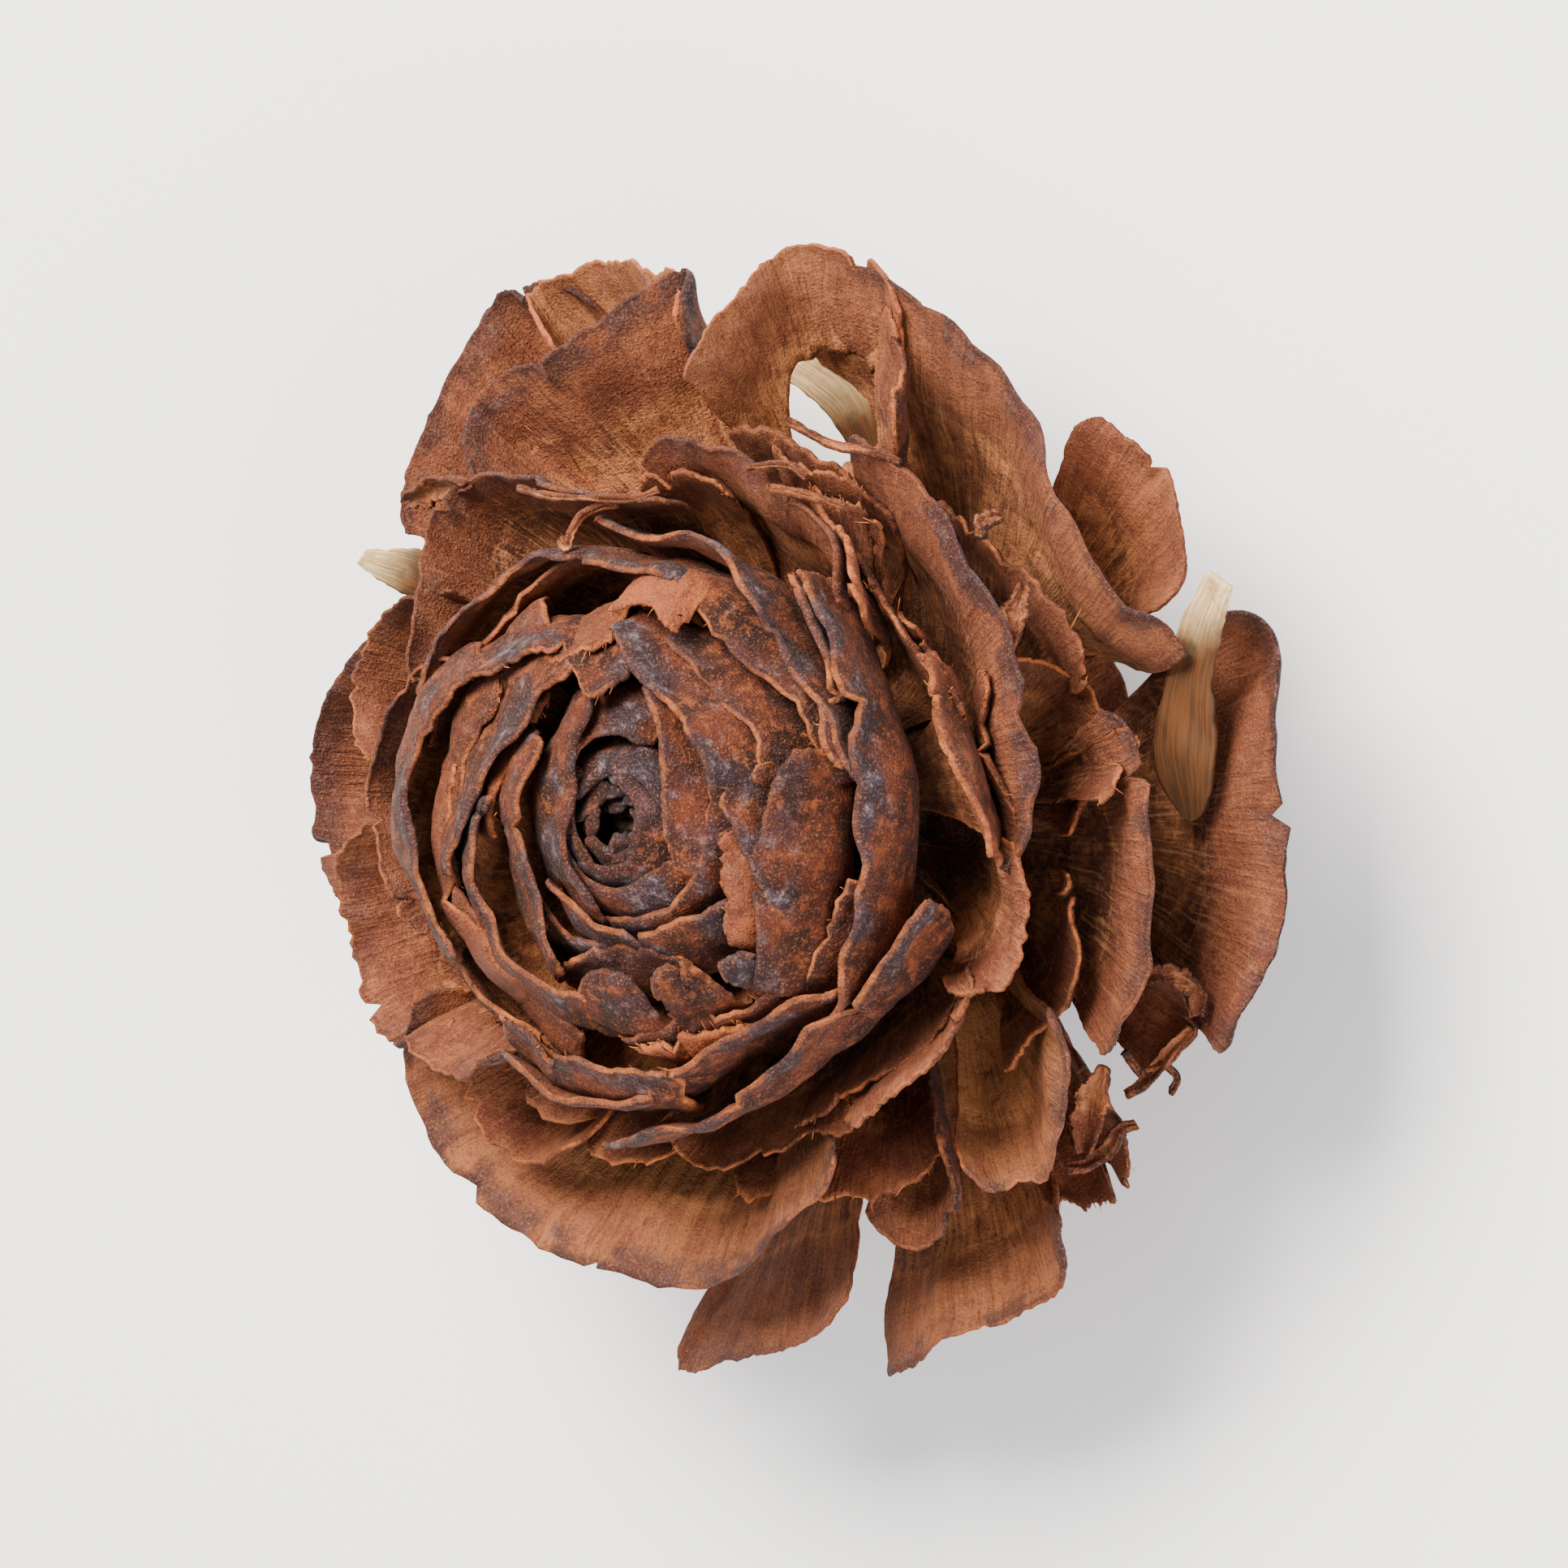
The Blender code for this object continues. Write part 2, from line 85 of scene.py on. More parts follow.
# Every scale that shows: name, kind, lift off the dome, torn depth as a share of its length, lightness from
# -1 to 1, greyness of the rim, and its rim as azimuth and radius. Its name starts with its group's. The
# lightness is partly a scale's own tone and partly painted light and shade, which makes some scales lighter or
# darker than their tone to match how lit they look.
SCALES = (
    ("tip_right", CENTRE, -0.6, 0.0, 0.0, 0.6, ((105, 2.6), (60, 1.6), (10, 1.5), (320, 1.7), (280, 2.6))),
    ("tip_left", CENTRE, -0.4, 0.0, -0.1, 0.9, ((102, 5.2), (130, 3.6), (180, 2.3), (225, 3.0), (262, 4.4))),
    ("bud_inner_right", CENTRE, 0.0, 0.03, 0.1, 0.5,
     ((82, 7.0), (52, 4.4), (20, 3.4), (350, 3.3), (318, 4.6))),
    ("bud_inner_low", CENTRE, -0.3, 0.03, 0.1, 0.9,
     ((215, 4.5), (256, 5.4), (282, 6.0), (310, 6.6), (330, 7.4))),
    ("bud_inner_left", CENTRE, -0.2, 0.03, 0.1, 0.7,
     ((140, 5.6), (165, 5.5), (190, 5.6), (222, 6.4), (246, 8.8))),
    ("bud_right", BUD, 0.4, 0.03, 0.0, 0.9,
     ((97, 10.2), (80, 7.6), (52, 6.7), (22, 6.2), (352, 8.0), (326, 10.6))),
    ("bud_tile_low", TILE, -0.1, 0.02, 0.0, 0.7, ((250, 9.4), (258, 8.5), (270, 8.3), (279, 8.4))),
    ("bud_tile_middle", TILE, 0.1, 0.02, 0.0, 0.8, ((279, 9.0), (285, 8.5), (296, 8.4), (303, 9.0))),
    ("bud_tile_high", TILE, 0.2, 0.02, 0.0, 0.8, ((303, 10.0), (308, 9.6), (314, 9.9), (318, 10.8))),
    ("bud_tongue", BUD, 0.7, 0.02, 0.1, 0.6,
     ((20, 10.9), (6, 9.8), (350, 9.7), (335, 9.9), (318, 11.4), (310, 12.8))),
    ("bud_folded", BUD, 0.0, 0.04, 0.0, 0.9, ((151, 14.2), (134, 10.8), (118, 8.8), (105, 6.4), (88, 6.6))),
    ("bud_left_upper", BUD, 0.0, 0.03, 0.1, 0.8,
     ((108, 7.8), (135, 8.0), (160, 8.5), (184, 10.1), (197, 12.0))),
    ("bud_left_lower", BUD, 0.0, 0.03, 0.1, 0.9,
     ((172, 7.4), (192, 9.5), (214, 10.2), (238, 10.6), (256, 9.6))),
    ("bud_left_outer", BUD, 0.0, 0.03, 0.1, 0.7,
     ((139, 12.0), (155, 13.8), (175, 15.0), (192, 14.7), (214, 13.1))),
    ("ring_low_inner", BUD, 0.0, 0.05, 0.1, 0.6, ((226, 14.8), (243, 14.3), (260, 13.6), (279, 13.2))),
    ("ring_low", CUP, 0.0, 0.03, 0.0, 0.8,
     ((229, 18.0), (245, 16.6), (262, 15.4), (280, 13.4), (300, 13.2), (322, 14.8))),
    ("ring_top", FLARE, 0.0, 0.03, 0.0, 0.9,
     ((109, 17.6), (97, 16.2), (72, 14.6), (47, 12.7), (26, 12.6), (4, 14.2))),
    ("ring_right", CUP, 0.0, 0.03, 0.1, 1.0,
     ((58, 16.2), (38, 14.4), (12, 14.2), (348, 14.2), (326, 15.2), (305, 16.6))),
    ("ring_low_right", CUP, 0.0, 0.03, 0.0, 0.9,
     ((254, 18.8), (272, 17.0), (295, 16.2), (320, 15.9), (345, 17.4))),
    ("ring_upper_left", FLARE, 0.0, 0.03, 0.0, 0.8,
     ((161, 16.2), (146, 17.8), (124, 16.4), (104, 14.0), (78, 12.4))),
    ("left_dark", MIDDLE, 0.0, 0.03, -0.7, 0.5,
     ((150, 17.0), (165, 20.4), (177, 21.7), (190, 20.4), (202, 19.4))),
    ("left_upper", MIDDLE, 0.0, 0.04, 0.1, 0.3, ((141, 21.0), (152, 24.8), (163, 26.5), (173, 23.4))),
    ("left_outer", OPEN, 0.0, 0.01, -0.8, 0.6,
     ((154, 25.6), (166, 29.6), (177, 31.2), (186, 29.0), (193, 26.6))),
    ("left_low", CREASED, 1.0, 0.03, 0.0, 0.4,
     ((180, 24.6), (192, 26.8), (204, 27.2), (217, 23.9), (233, 18.4))),
    ("top_left_dark", MIDDLE, 1.0, 0.02, -0.6, 0.4,
     ((156, 18.4), (142, 23.4), (133, 25.6), (120, 22.0), (106, 18.6), (90, 18.0))),
    ("top_left_big", OPEN, 1.0, 0.01, 0.1, 0.8,
     ((131, 26.6), (128, 30.4), (118, 29.4), (108, 30.0), (99.5, 31.6), (98, 28.0))),
    ("top_left_back", OPEN, 0.5, 0.01, 0.1, 0.6,
     ((147, 31.0), (137, 33.8), (127, 37.2), (122, 36.4), (116, 34.0))),
    ("top_back", OPEN, 1.5, 0.03, 0.7, 0.0,
     ((120, 33.0), (121.5, 35.8), (116, 35.2), (111.5, 34.6), (106, 32.8), (102, 32.0), (100.5, 30.2))),
    ("top_specked", BLADE, 0.0, 0.02, 0.0, 0.5,
     ((101, 21.6), (90, 21.8), (76, 20.2), (62, 19.0), (46, 17.0))),
    ("top_arch", ARCH, 1.3, 0.02, 0.5, 0.1, ((96, 25.4), (92, 29.4), (88, 32.0), (81, 32.2), (73, 30.4))),
    ("right_blade", BLADE, 0.0, 0.02, -0.2, 0.9,
     ((69, 24.6), (52, 22.9), (30, 22.3), (10, 21.8), (350, 21.4))),
    ("top_right_big", STEEP, 0.0, 0.0, 0.3, 0.7,
     ((93, 32.4), (78, 30.8), (60, 29.4), (43, 27.6), (28, 26.9), (17, 29.4))),
    ("top_right_lobe", LOBE, -1.2, 0.05, 0.1, 0.0, ((78, 29.8), (73, 28.6), (67, 26.6), (64, 24.6))),
    ("back_right", OPEN, -4.0, 0.01, 0.2, 0.1,
     ((50.5, 29.0), (46.6, 29.8), (42, 30.2), (36, 30.2), (30, 29.0), (25, 27.6))),
    ("right_big", OPEN, -0.6, 0.0, -0.55, 0.5, ((22, 30.6), (17, 32.2), (2, 31.8), (347, 32.0), (334, 31.8))),
    ("right_inner", OPEN, 0.0, 0.02, -0.5, 0.7,
     ((14, 25.6), (4, 26.6), (350, 27.2), (338, 27.7), (329, 27.8))),
    ("right_stump", LOBE, -8.0, 0.04, 0.3, 0.0, ((29, 19.4), (20, 22.2), (8, 22.4), (356, 20.6))),
    ("right_curl", LOBE, -5.0, 0.03, 0.0, 0.2, ((341, 26.0), (337, 28.2), (332, 28.2), (327, 27.4))),
    ("right_small", BLADE, -0.5, 0.03, 0.0, 0.1,
     ((356, 20.6), (350, 21.5), (344, 22.2), (338, 22.2), (332, 21.4), (328.4, 19.9))),
    ("right_thin", CUP, 0.0, 0.04, 0.2, 0.1, ((30, 18.2), (17, 18.2), (4, 18.6), (352, 19.4))),
    ("right_lobed", STEEP, -1.5, 0.08, 0.0, 0.1, ((50, 18.0), (40, 18.0), (28, 18.6), (16, 19.4))),
    ("low_right_face", OPEN, -0.5, 0.02, 0.7, 0.6,
     ((331.7, 24.3), (328, 25.6), (321, 26.8), (314.4, 28.0), (310.5, 27.6), (307.7, 27.0), (306.5, 25.4))),
    ("low_right_strip", BLADE, 0.0, 0.03, 0.0, 0.1, ((333, 21.2), (322, 21.3), (309, 21.1), (298, 21.2))),
    ("low_right_big", OPEN, -0.5, 0.02, 0.45, 0.7,
     ((278.8, 33.6), (283, 32.8), (290, 32.2), (296, 32.6), (303, 32.4), (310, 30.6))),
    ("low_right_lobe", LOBE, -3.5, 0.02, -0.3, 0.2, ((306, 22.0), (300, 25.6), (293, 26.4), (289, 24.2))),
    ("low_right_hook", OPEN, -4.0, 0.08, 0.0, 0.2, ((326, 26.0), (319, 29.6), (312, 30.4), (306, 28.6))),
    ("low_big", OPEN, 0.0, 0.01, 0.5, 0.8,
     ((207, 23.6), (220, 28.2), (236, 28.7), (250, 27.2), (266, 26.6), (280, 23.6), (293, 21.4))),
    ("low_back", OPEN, -0.5, 0.02, 0.35, 0.6,
     ((255.0, 33.6), (260, 32.6), (266, 31.0), (273, 30.0), (281.5, 29.4))),
    ("low_lobe_left", LOBE, -2.0, 0.05, 0.0, 0.0, ((212, 22.6), (222, 24.2), (234, 25.4), (246, 21.0))),
    ("ring_flap", FLARE, 0.3, 0.05, 0.1, 0.5, ((60, 15.8), (50, 15.0), (38, 13.7), (24, 13.0), (10, 13.3))),
    ("top_specked_end", BLADE, 1.0, 0.05, 0.3, 0.1, ((72, 20.4), (61, 19.8), (51, 18.9), (42, 17.9))),
    ("top_scrap_high", LOBE, -0.6, 0.08, 0.2, 0.0, ((79, 22.0), (72, 21.4), (66, 21.2), (60, 21.6))),
    ("top_scrap_low", LOBE, -0.2, 0.08, 0.1, 0.0, ((68, 20.4), (63, 20.0), (58, 20.2), (53, 20.8))),
    ("right_hook", LOBE, 1.0, 0.06, 0.1, 0.0, ((11, 26.2), (9, 26.9), (5, 26.6), (1, 25.4))),
    ("bud_top_flap", BUD, 0.35, 0.04, 0.45, 0.1, ((99, 10.8), (91, 11.3), (82, 11.2), (73, 10.2))),
    ("bud_side_flap", BUD, 0.4, 0.04, 0.4, 0.2, ((356, 7.0), (341, 7.5), (325, 8.4), (311, 9.0))),
    ("bud_low_scrap", BUD, -0.1, 0.1, 0.5, 0.0, ((268, 11.2), (280, 11.3), (292, 11.8), (303, 12.6))),
    ("low_lobe_right", LOBE, -3.0, 0.06, 0.1, 0.1, ((256, 19.6), (268, 20.6), (284, 19.8), (297, 20.2))),
)

# Inner and broken scales that show only in the gaps: kind, lift, torn depth, lightness, greyness and rim.
BETWEEN = (
    (BUD, -0.8, 0.08, 0.3, 0.1, ((128, 7.0), (150, 7.3), (172, 7.8), (190, 8.6))),
    (BUD, -0.8, 0.08, 0.3, 0.1, ((166, 10.9), (190, 12.5), (212, 11.8), (232, 11.6))),
    (BUD, -0.7, 0.08, 0.3, 0.1, ((96, 8.9), (112, 8.4), (130, 9.2), (146, 10.6))),
    (BUD, -0.9, 0.06, 0.1, 0.4, ((236, 9.4), (256, 7.4), (276, 7.0), (296, 7.4))),
    (BUD, -0.5, 0.06, 0.2, 0.3, ((22, 7.6), (4, 8.0), (344, 8.6), (328, 9.6))),
    (BUD, -1.5, 0.03, 0.0, 0.7, ((150, 6.8), (175, 7.0), (200, 7.4), (228, 7.6))),
    (BUD, -1.4, 0.03, 0.0, 0.8, ((215, 7.4), (240, 7.2), (265, 7.2), (292, 7.6))),
    (BUD, -1.0, 0.05, 0.2, 0.3, ((120, 11.2), (145, 11.0), (170, 11.6), (200, 12.6))),
    (BUD, -1.1, 0.05, 0.3, 0.2, ((195, 12.6), (215, 12.0), (236, 12.2), (250, 12.6))),
    (CENTRE, -1.4, 0.02, -0.1, 0.8, ((60, 4.2), (30, 3.0), (350, 3.0), (318, 4.4))),
    (CENTRE, -1.5, 0.03, -0.1, 0.8, ((100, 4.6), (140, 4.3), (180, 4.3), (225, 4.8))),
    (CENTRE, -1.3, 0.03, 0.0, 0.7, ((250, 5.6), (290, 5.2), (330, 5.0), (20, 5.0))),
    (CENTRE, -1.0, 0.02, 0.0, 0.9, ((62, 3.8), (95, 4.2), (130, 3.4), (165, 2.8))),
    (CENTRE, -1.0, 0.02, 0.0, 0.9, ((196, 3.0), (235, 3.6), (280, 3.8), (325, 3.4))),
    (BUD, -1.3, 0.04, 0.0, 0.5, ((70, 5.8), (40, 5.0), (0, 4.8), (320, 6.2))),
    (BUD, -1.2, 0.04, 0.0, 0.5, ((84, 9.4), (50, 8.6), (10, 8.2), (330, 10.0))),
    (BUD, -1.2, 0.04, -0.2, 0.4, ((96, 13.4), (66, 11.4), (36, 10.8), (6, 11.6))),
    (BUD, -1.4, 0.05, 0.0, 0.4, ((346, 12.4), (326, 13.0), (306, 13.0), (286, 12.4))),
    (BUD, -1.0, 0.05, 0.2, 0.3, ((262, 11.2), (280, 10.8), (298, 11.2), (312, 12.0))),
    (FLARE, -1.6, 0.06, -0.2, 0.3, ((168, 16.0), (146, 15.4), (120, 14.6), (98, 14.2))),
    (CUP, -1.4, 0.06, 0.0, 0.3, ((200, 16.6), (220, 16.2), (242, 15.2), (262, 14.4))),
    (STEEP, -2.2, 0.07, -0.3, 0.1, ((66, 18.8), (50, 18.0), (34, 17.6), (20, 18.6))),
    (STEEP, -3.0, 0.07, -0.2, 0.1, ((92, 23.4), (80, 22.4), (68, 21.6), (56, 21.4))),
    (STEEP, -4.0, 0.07, -0.3, 0.1, ((58, 22.8), (44, 23.4), (30, 23.8), (18, 24.4))),
    (STEEP, -2.0, 0.07, -0.3, 0.1, ((26, 20.6), (14, 20.0), (2, 20.2), (350, 20.8))),
    (STEEP, -3.2, 0.07, -0.2, 0.1, ((352, 23.0), (342, 23.8), (330, 24.2), (318, 23.6))),
    (STEEP, -2.6, 0.07, -0.3, 0.1, ((330, 19.8), (316, 19.4), (300, 19.2), (286, 19.6))),
    (STEEP, -3.4, 0.06, -0.1, 0.1, ((304, 24.2), (292, 24.0), (280, 23.0), (268, 22.2))),
    (STEEP, -2.4, 0.07, -0.2, 0.1, ((262, 21.0), (246, 21.6), (230, 20.8), (216, 20.2))),
    (STEEP, -2.4, 0.07, -0.2, 0.2, ((212, 21.4), (198, 22.6), (184, 23.4), (170, 23.0))),
    (STEEP, -3.0, 0.07, 0.1, 0.1, ((160, 25.4), (148, 27.0), (136, 28.2), (124, 27.6))),
    (STEEP, -1.6, 0.08, 0.2, 0.1, ((118, 20.6), (106, 20.4), (94, 20.0), (84, 19.2))),
)

# Torn strips and curls: group, width, turns from facing the camera at both ends, lightness, lift off the
# dome, and the line that the strip follows.
STRIPS = (
    ("right", 1.4, (20, 50), -0.2, -1.0, ((41.5, 23.0), (43.0, 23.5), (42.5, 24.3))),
    ("right", 2.0, (10, 20), 0.1, -2.5, ((25.5, 21.0), (29.6, 21.9), (33.4, 22.9))),
    ("low", 2.0, (0, 40), -0.3, -5.0, ((339, 25.3), (340.6, 26.6), (339.6, 27.8), (336.9, 28.4))),
    ("low", 1.0, (10, 60), -0.2, -6.0,
     ((334.9, 27.9), (331.7, 27.5), (329.4, 27.3), (326.8, 27.1), (324.6, 26.7))),
    ("low", 0.3, (10, 50), -0.2, -6.0, ((330.1, 27.4), (328.8, 28.2), (326.8, 28.3))),
    ("low", 0.3, (0, 30), -0.1, -6.0, ((329.3, 25.8), (328.2, 26.4), (327.3, 27.0))),
    ("low", 1.5, (0, 50), -0.1, -4.0,
     ((314, 27.2), (316.0, 27.8), (319.0, 28.0), (321.3, 28.0), (322.9, 28.4))),
    ("low", 2.4, (10, 30), -0.2, -4.0, ((327.3, 26.0), (324.0, 26.2), (320.5, 26.6), (316.6, 27.4))),
    ("ring", 0.7, (0, 50), 0.2, 0.1,
     ((111.8, 16.4), (110.2, 15.8), (107.6, 17.0), (103.4, 17.4), (99.5, 17.3))),
    ("left", 2.2, (10, 40), 0.2, 0.0, ((131.0, 24.4), (137.5, 27.1), (142.0, 28.6))),
    ("top", 0.3, (0, 40), 0.2, 1.1,
     ((119.5, 20.9), (112.1, 19.0), (103.1, 17.9), (94.0, 17.4), (89.1, 17.8))),
    ("top", 0.4, (20, -40), 0.0, -0.4, ((75.5, 22.4), (67.7, 22.1), (61.6, 22.7), (57.4, 23.1))),
    ("top", 0.3, (-20, 30), 0.2, 0.5, ((69.9, 19.1), (64.1, 19.5), (57.2, 20.0))),
    ("top", 0.25, (0, 50), 0.2, 0.4, ((76.0, 19.6), (70.0, 20.4), (66.0, 20.2))),
)

# The sheet torn through at the top: middle of the hole and its half sizes, as shares across and along.
HOLES = {"top_arch": (0.56, 0.62, 0.36, 0.13)}
HOLE_UNEVEN = 0.25
HOLE_LOBES = 1.6
HOLE_NEAR = 1.5

# Crumbled scale tips that fill the bud's heart, from the middle outward.
HEART_COUNT = 18
HEART_R = (0.5, 2.9)
HEART_LIFT = (-1.9, -0.8)
HEART_LIFT_DRAW = 0.3
HEART_LIGHT = (-0.85, -0.35)
HEART_CLAW_Z = 27.0
HEART_HALF = 42.0
HEART_DROOP = 0.2

# Scales that the others hide, and the three lowest that steady the stub.
HIDDEN_COUNT = 6
HIDDEN_TURN = 137.5
HIDDEN_TURN_DRAW = 6
HIDDEN_START = 20.0
HIDDEN_CLAW_Z = (3.4, 8.4)
HIDDEN_R = (17.0, 20.5)
HIDDEN_RIM_Z = (3.0, 11.0)
HIDDEN_HALF = 24.0
HIDDEN_DROOP = -0.1
REST_AZ = (350.0, 110.0, 230.0)
REST_R = 19.5
REST_Z = 0.5
REST_CLAW_Z = 3.0
REST_HALF = 17.0
REST_DROOP = -0.12

# How far the scales in the gaps leave the axis below the others.
BETWEEN_DROP = 0.5

# A plain round rim's stations, as shares of its half width.
FAN = (-1, -0.4, 0.4, 1)

# Seeds of the draws and waves: the first of each series, and the step to the next.
SCALE_SEEDS = (1.3, 3.7)
BETWEEN_SEEDS = (150.0, 2.9)
STRIP_SEEDS = (90.0, 2.3)
HEART_SEEDS = (400.0, 5.0)
HIDDEN_SEEDS = (200.0, 5.0)
REST_SEEDS = (300.0, 5.0)
UNDER_SEED = 41
FIBRE_SEED = 77

# The woody axis, as radius and height from the bud's crumbled tip down to the stub.
AXIS_PROFILE = (
    (0.0, 32.2),
    (0.9, 32.4),
    (1.8, 31.8),
    (3.2, 30.9),
    (5.0, 30.0),
    (6.4, 29.0),
    (5.4, 22.0),
    (5.2, 14.0),
    (5.9, 6.0),
    (5.6, 1.2),
    (5.0, 0.0),
    (0.0, 0.0),
)
AXIS_STEPS = 72
AXIS_CUTS = 3
CRUMBLE_FROM_Z = 29.0
CRUMBLE_DEEP = 5.0
FLAT_BELOW = 0.05

# Loose seed wings: each long edge as azimuth, radius and height, from the seed to the wing's tip.
WING_MM = 0.35
WING_ROUND = 0.2
WING_COLUMNS = 16
WING_ROWS = 48
WINGS = (
    (
        "seed_wing_right",
        ((-1, 26.2, 14.2), (7, 27.6, 16.0), (15, 29.0, 17.2), (20, 31.4, 18.8), (22, 32.8, 19.5)),
        ((-1, 23.4, 13.2), (8, 22.8, 14.2), (16, 24.8, 15.4), (22, 28.0, 17.4), (25, 31.6, 19.4)),
    ),
    (
        "seed_wing_top",
        ((84, 15.0, 8.0), (86, 18.0, 9.0), (90, 22.4, 10.8), (97, 25.2, 11.8)),
        ((80, 15.2, 8.1), (80, 18.2, 9.1), (83, 23.4, 11.2), (91, 26.0, 12.1)),
    ),
    (
        "seed_wing_left",
        ((151, 20.0, 15.6), (152, 24.0, 17.6), (152, 27.0, 19.2), (151, 29.4, 20.4)),
        ((147, 20.0, 15.6), (145, 24.0, 17.6), (146, 27.0, 19.2), (149, 29.2, 20.4)),
    ),
)

# Waviness of the scales: size of the waves and their height, from broad to fine, and how the height grows to
# the rim and with crust.
WARP = ((8.0, 0.75), (3.1, 0.36), (1.1, 0.08))
WARP_AT_CLAW = 0.35
WARP_TO_RIM = 0.8
WARP_BY_CRUST = 2

# Torn edges: teeth as waves per mm, their row in the noise and their share, depth of the teeth on rims and
# sides, and how far corners are worn round.
TEETH = ((0.22, 0.0, 1.1), (0.7, 4.0, 0.6), (2.9, 9.0, 0.5))
TEAR_MM = 0.25
TEAR_BY_TORN = 12
SIDE_TEAR_MM = 0.6
CORNER_WORN = 0.05

# Splits from the rim: how many per mm, their depth and half width, and how far their lips lift.
SPLITS_PER_MM = 0.03
SPLIT_DEEP = (0.5, 1.4)
SPLIT_BY_TORN = 30
SPLIT_HALF = (0.22, 0.5)
SPLIT_LIFT = (0.1, 0.45)

# The rim's curl: how far its edge leans out, how wide the curl is, and how long its waves are.
CURL_MM = 0.4
CURL_WIDE = 1.4
CURL_WAVE = 4

# Thickness: the lip's, the full one that weights are shares of, and where the rim starts to thicken.
LIP_MM = 0.16
FULL_MM = 2.0
RIM_FROM = 0.55

# Strips: faces across, rows and more rows for each station, and edge attributes that leave them with little
# bloom and few breaks.
STRIP_COLUMNS = 8
STRIP_ROWS = (12, 8)
STRIP_RIM_GAP = 3.0
STRIP_SIDE_GAP = 0.25
STRIP_GREY = 0.1
STRIP_WORN = 0.4

# Loose fibres on torn rims.
FRAY_BY_TORN = 5
FRAY_FROM = 0.15
FIBRE_LONG = (0.25, 0.7)
FIBRE_R = (0.03, 0.06)
FIBRE_TIP_R = 0.015
LONG_FIBRE = 2.2
LONG_FIBRE_SHARE = 0.1

# The camera, as it stood to the cone: on the +X side, high, and rolled so that the bud points to the left.
ELEVATION = math.radians(60)
DISTANCE = 600.0
TARGET = (1.686, 1.643, 19.027)
SENSOR_MM = 36.0
FRAME_PX = 1932
PX_PER_MM = 22.0
RIGHT = Vector((math.sin(ELEVATION), 0.0, -math.cos(ELEVATION)))
UP = Vector((0.0, 1.0, 0.0))
BACK = Vector((math.cos(ELEVATION), 0.0, math.sin(ELEVATION)))

# The lights: way from the cone to the right, up and back, distance and size in metres, watts and colour.
WORLD_LIGHT = 0.85
LIGHT_TARGET = (0.0, 0.0, 0.018)
LIGHTS = (
    ("key", (-0.9, 1.0, 1.2), 0.5, 0.3, 10.0, "FFFAF2"),
    ("fill", (0.7, -0.9, 1.3), 0.6, 0.4, 5.0, "F8F8FF"),
)
# Half the floor's width, in metres.
FLOOR_HALF = 1.5


def linear(code):
    """An sRGB hex colour as linear red, green, blue and a full alpha."""
    parts = [int(code[k:k + 2], 16) / 255 for k in (0, 2, 4)]
    return (*[c / 12.92 if c <= 0.04045 else ((c + 0.055) / 1.055) ** 2.4 for c in parts], 1.0)


def crown(radius):
    return CROWN_Z - CROWN_DROP * (radius / CROWN_R) ** CROWN_POWER


def on_dome(stations, lift):
    """A rim's stations with their heights, which are the dome's and a lift."""
    return [(az, r, crown(r) + lift) for az, r in stations]


def claw_height(stations):
    """Where a scale leaves the axis: the wider its rim, the lower."""
    mean_r = sum(r for _, r in stations) / len(stations)
    return CLAW_TOP - CLAW_FALL * mean_r


def round_rim(az, half, radius, droop, height):
    """A plain round rim, whose radius changes by droop, a share of it, towards both sides."""
    return [(az + half * side, radius * (1 + droop * side * side), height) for side in FAN]


def between(ends, share):
    return ends[0] + (ends[1] - ends[0]) * share


def seed_of(series, k):
    return series[0] + series[1] * k


def downward(stations):
    """Stations with their azimuths running on downwards, so that every scale's inner face is its front."""
    out = [list(stations[0])]
    for station in stations[1:]:
        az = station[0]
        while az - out[-1][0] > 180:
            az -= 360
        while az - out[-1][0] < -180:
            az += 360
        out.append([az, *station[1:]])
    return out if out[0][0] > out[-1][0] else out[::-1]


def along(stations, t):
    """A smooth curve through the stations, at t from 0 to 1."""
    last = len(stations) - 1
    place = min(max(t, 0.0) * last, last - 1e-9)
    k = int(place)
    f = place - k
    p1, p2 = stations[k], stations[k + 1]
    p0 = stations[k - 1] if k else [2 * a - b for a, b in zip(p1, p2)]
    p3 = stations[k + 2] if k + 2 <= last else [2 * a - b for a, b in zip(p2, p1)]
    return [
        0.5 * (2 * b + (c - a) * f + (2 * a - 5 * b + 4 * c - d) * f * f + (3 * b - a - 3 * c + d) * f ** 3)
        for a, b, c, d in zip(p0, p1, p2, p3)
    ]


def polar(az, radius, height):
    """A point in mm from the axis."""
    turn = math.radians(az)
    return Vector((radius * math.cos(turn), radius * math.sin(turn), height))


def run_length(points):
    """The length of a line through points."""
    return sum((b - a).length for a, b in zip(points, points[1:]))


def blade_point(rim, kind, claw_z, s, t):
    """A scale's middle face: s runs from the claw in the axis to the rim, t from side to side."""
    az_rim, r_rim, z_rim = along(rim, t)
    middle = 0.5 * (rim[0][0] + rim[-1][0])
    spread = 1 - (1 - CLAW_SPREAD) * (1 - s) ** WIDEN_POWER
    az = middle + (az_rim - middle) * spread
    side = BULGE_MIDDLE - BULGE_SWING * math.cos(math.radians(middle))
    bulge = kind.bulge * ((r_rim - CLAW_R + z_rim - claw_z) / math.pi * side)
    out = (1 - kind.flare) * s ** kind.reach + kind.flare * s ** FLARE_POWER
    radius = CLAW_R + (r_rim - CLAW_R) * out + bulge * math.sin(math.pi * s)
    return polar(az, radius, claw_z + (z_rim - claw_z) * s ** kind.rise)


def ripple(x, seed):
    """Uneven teeth, from 0 to about 1, along a torn edge at x mm."""
    return sum(share * abs(noise.noise(Vector((x * per_mm, seed, row)))) for per_mm, row, share in TEETH)


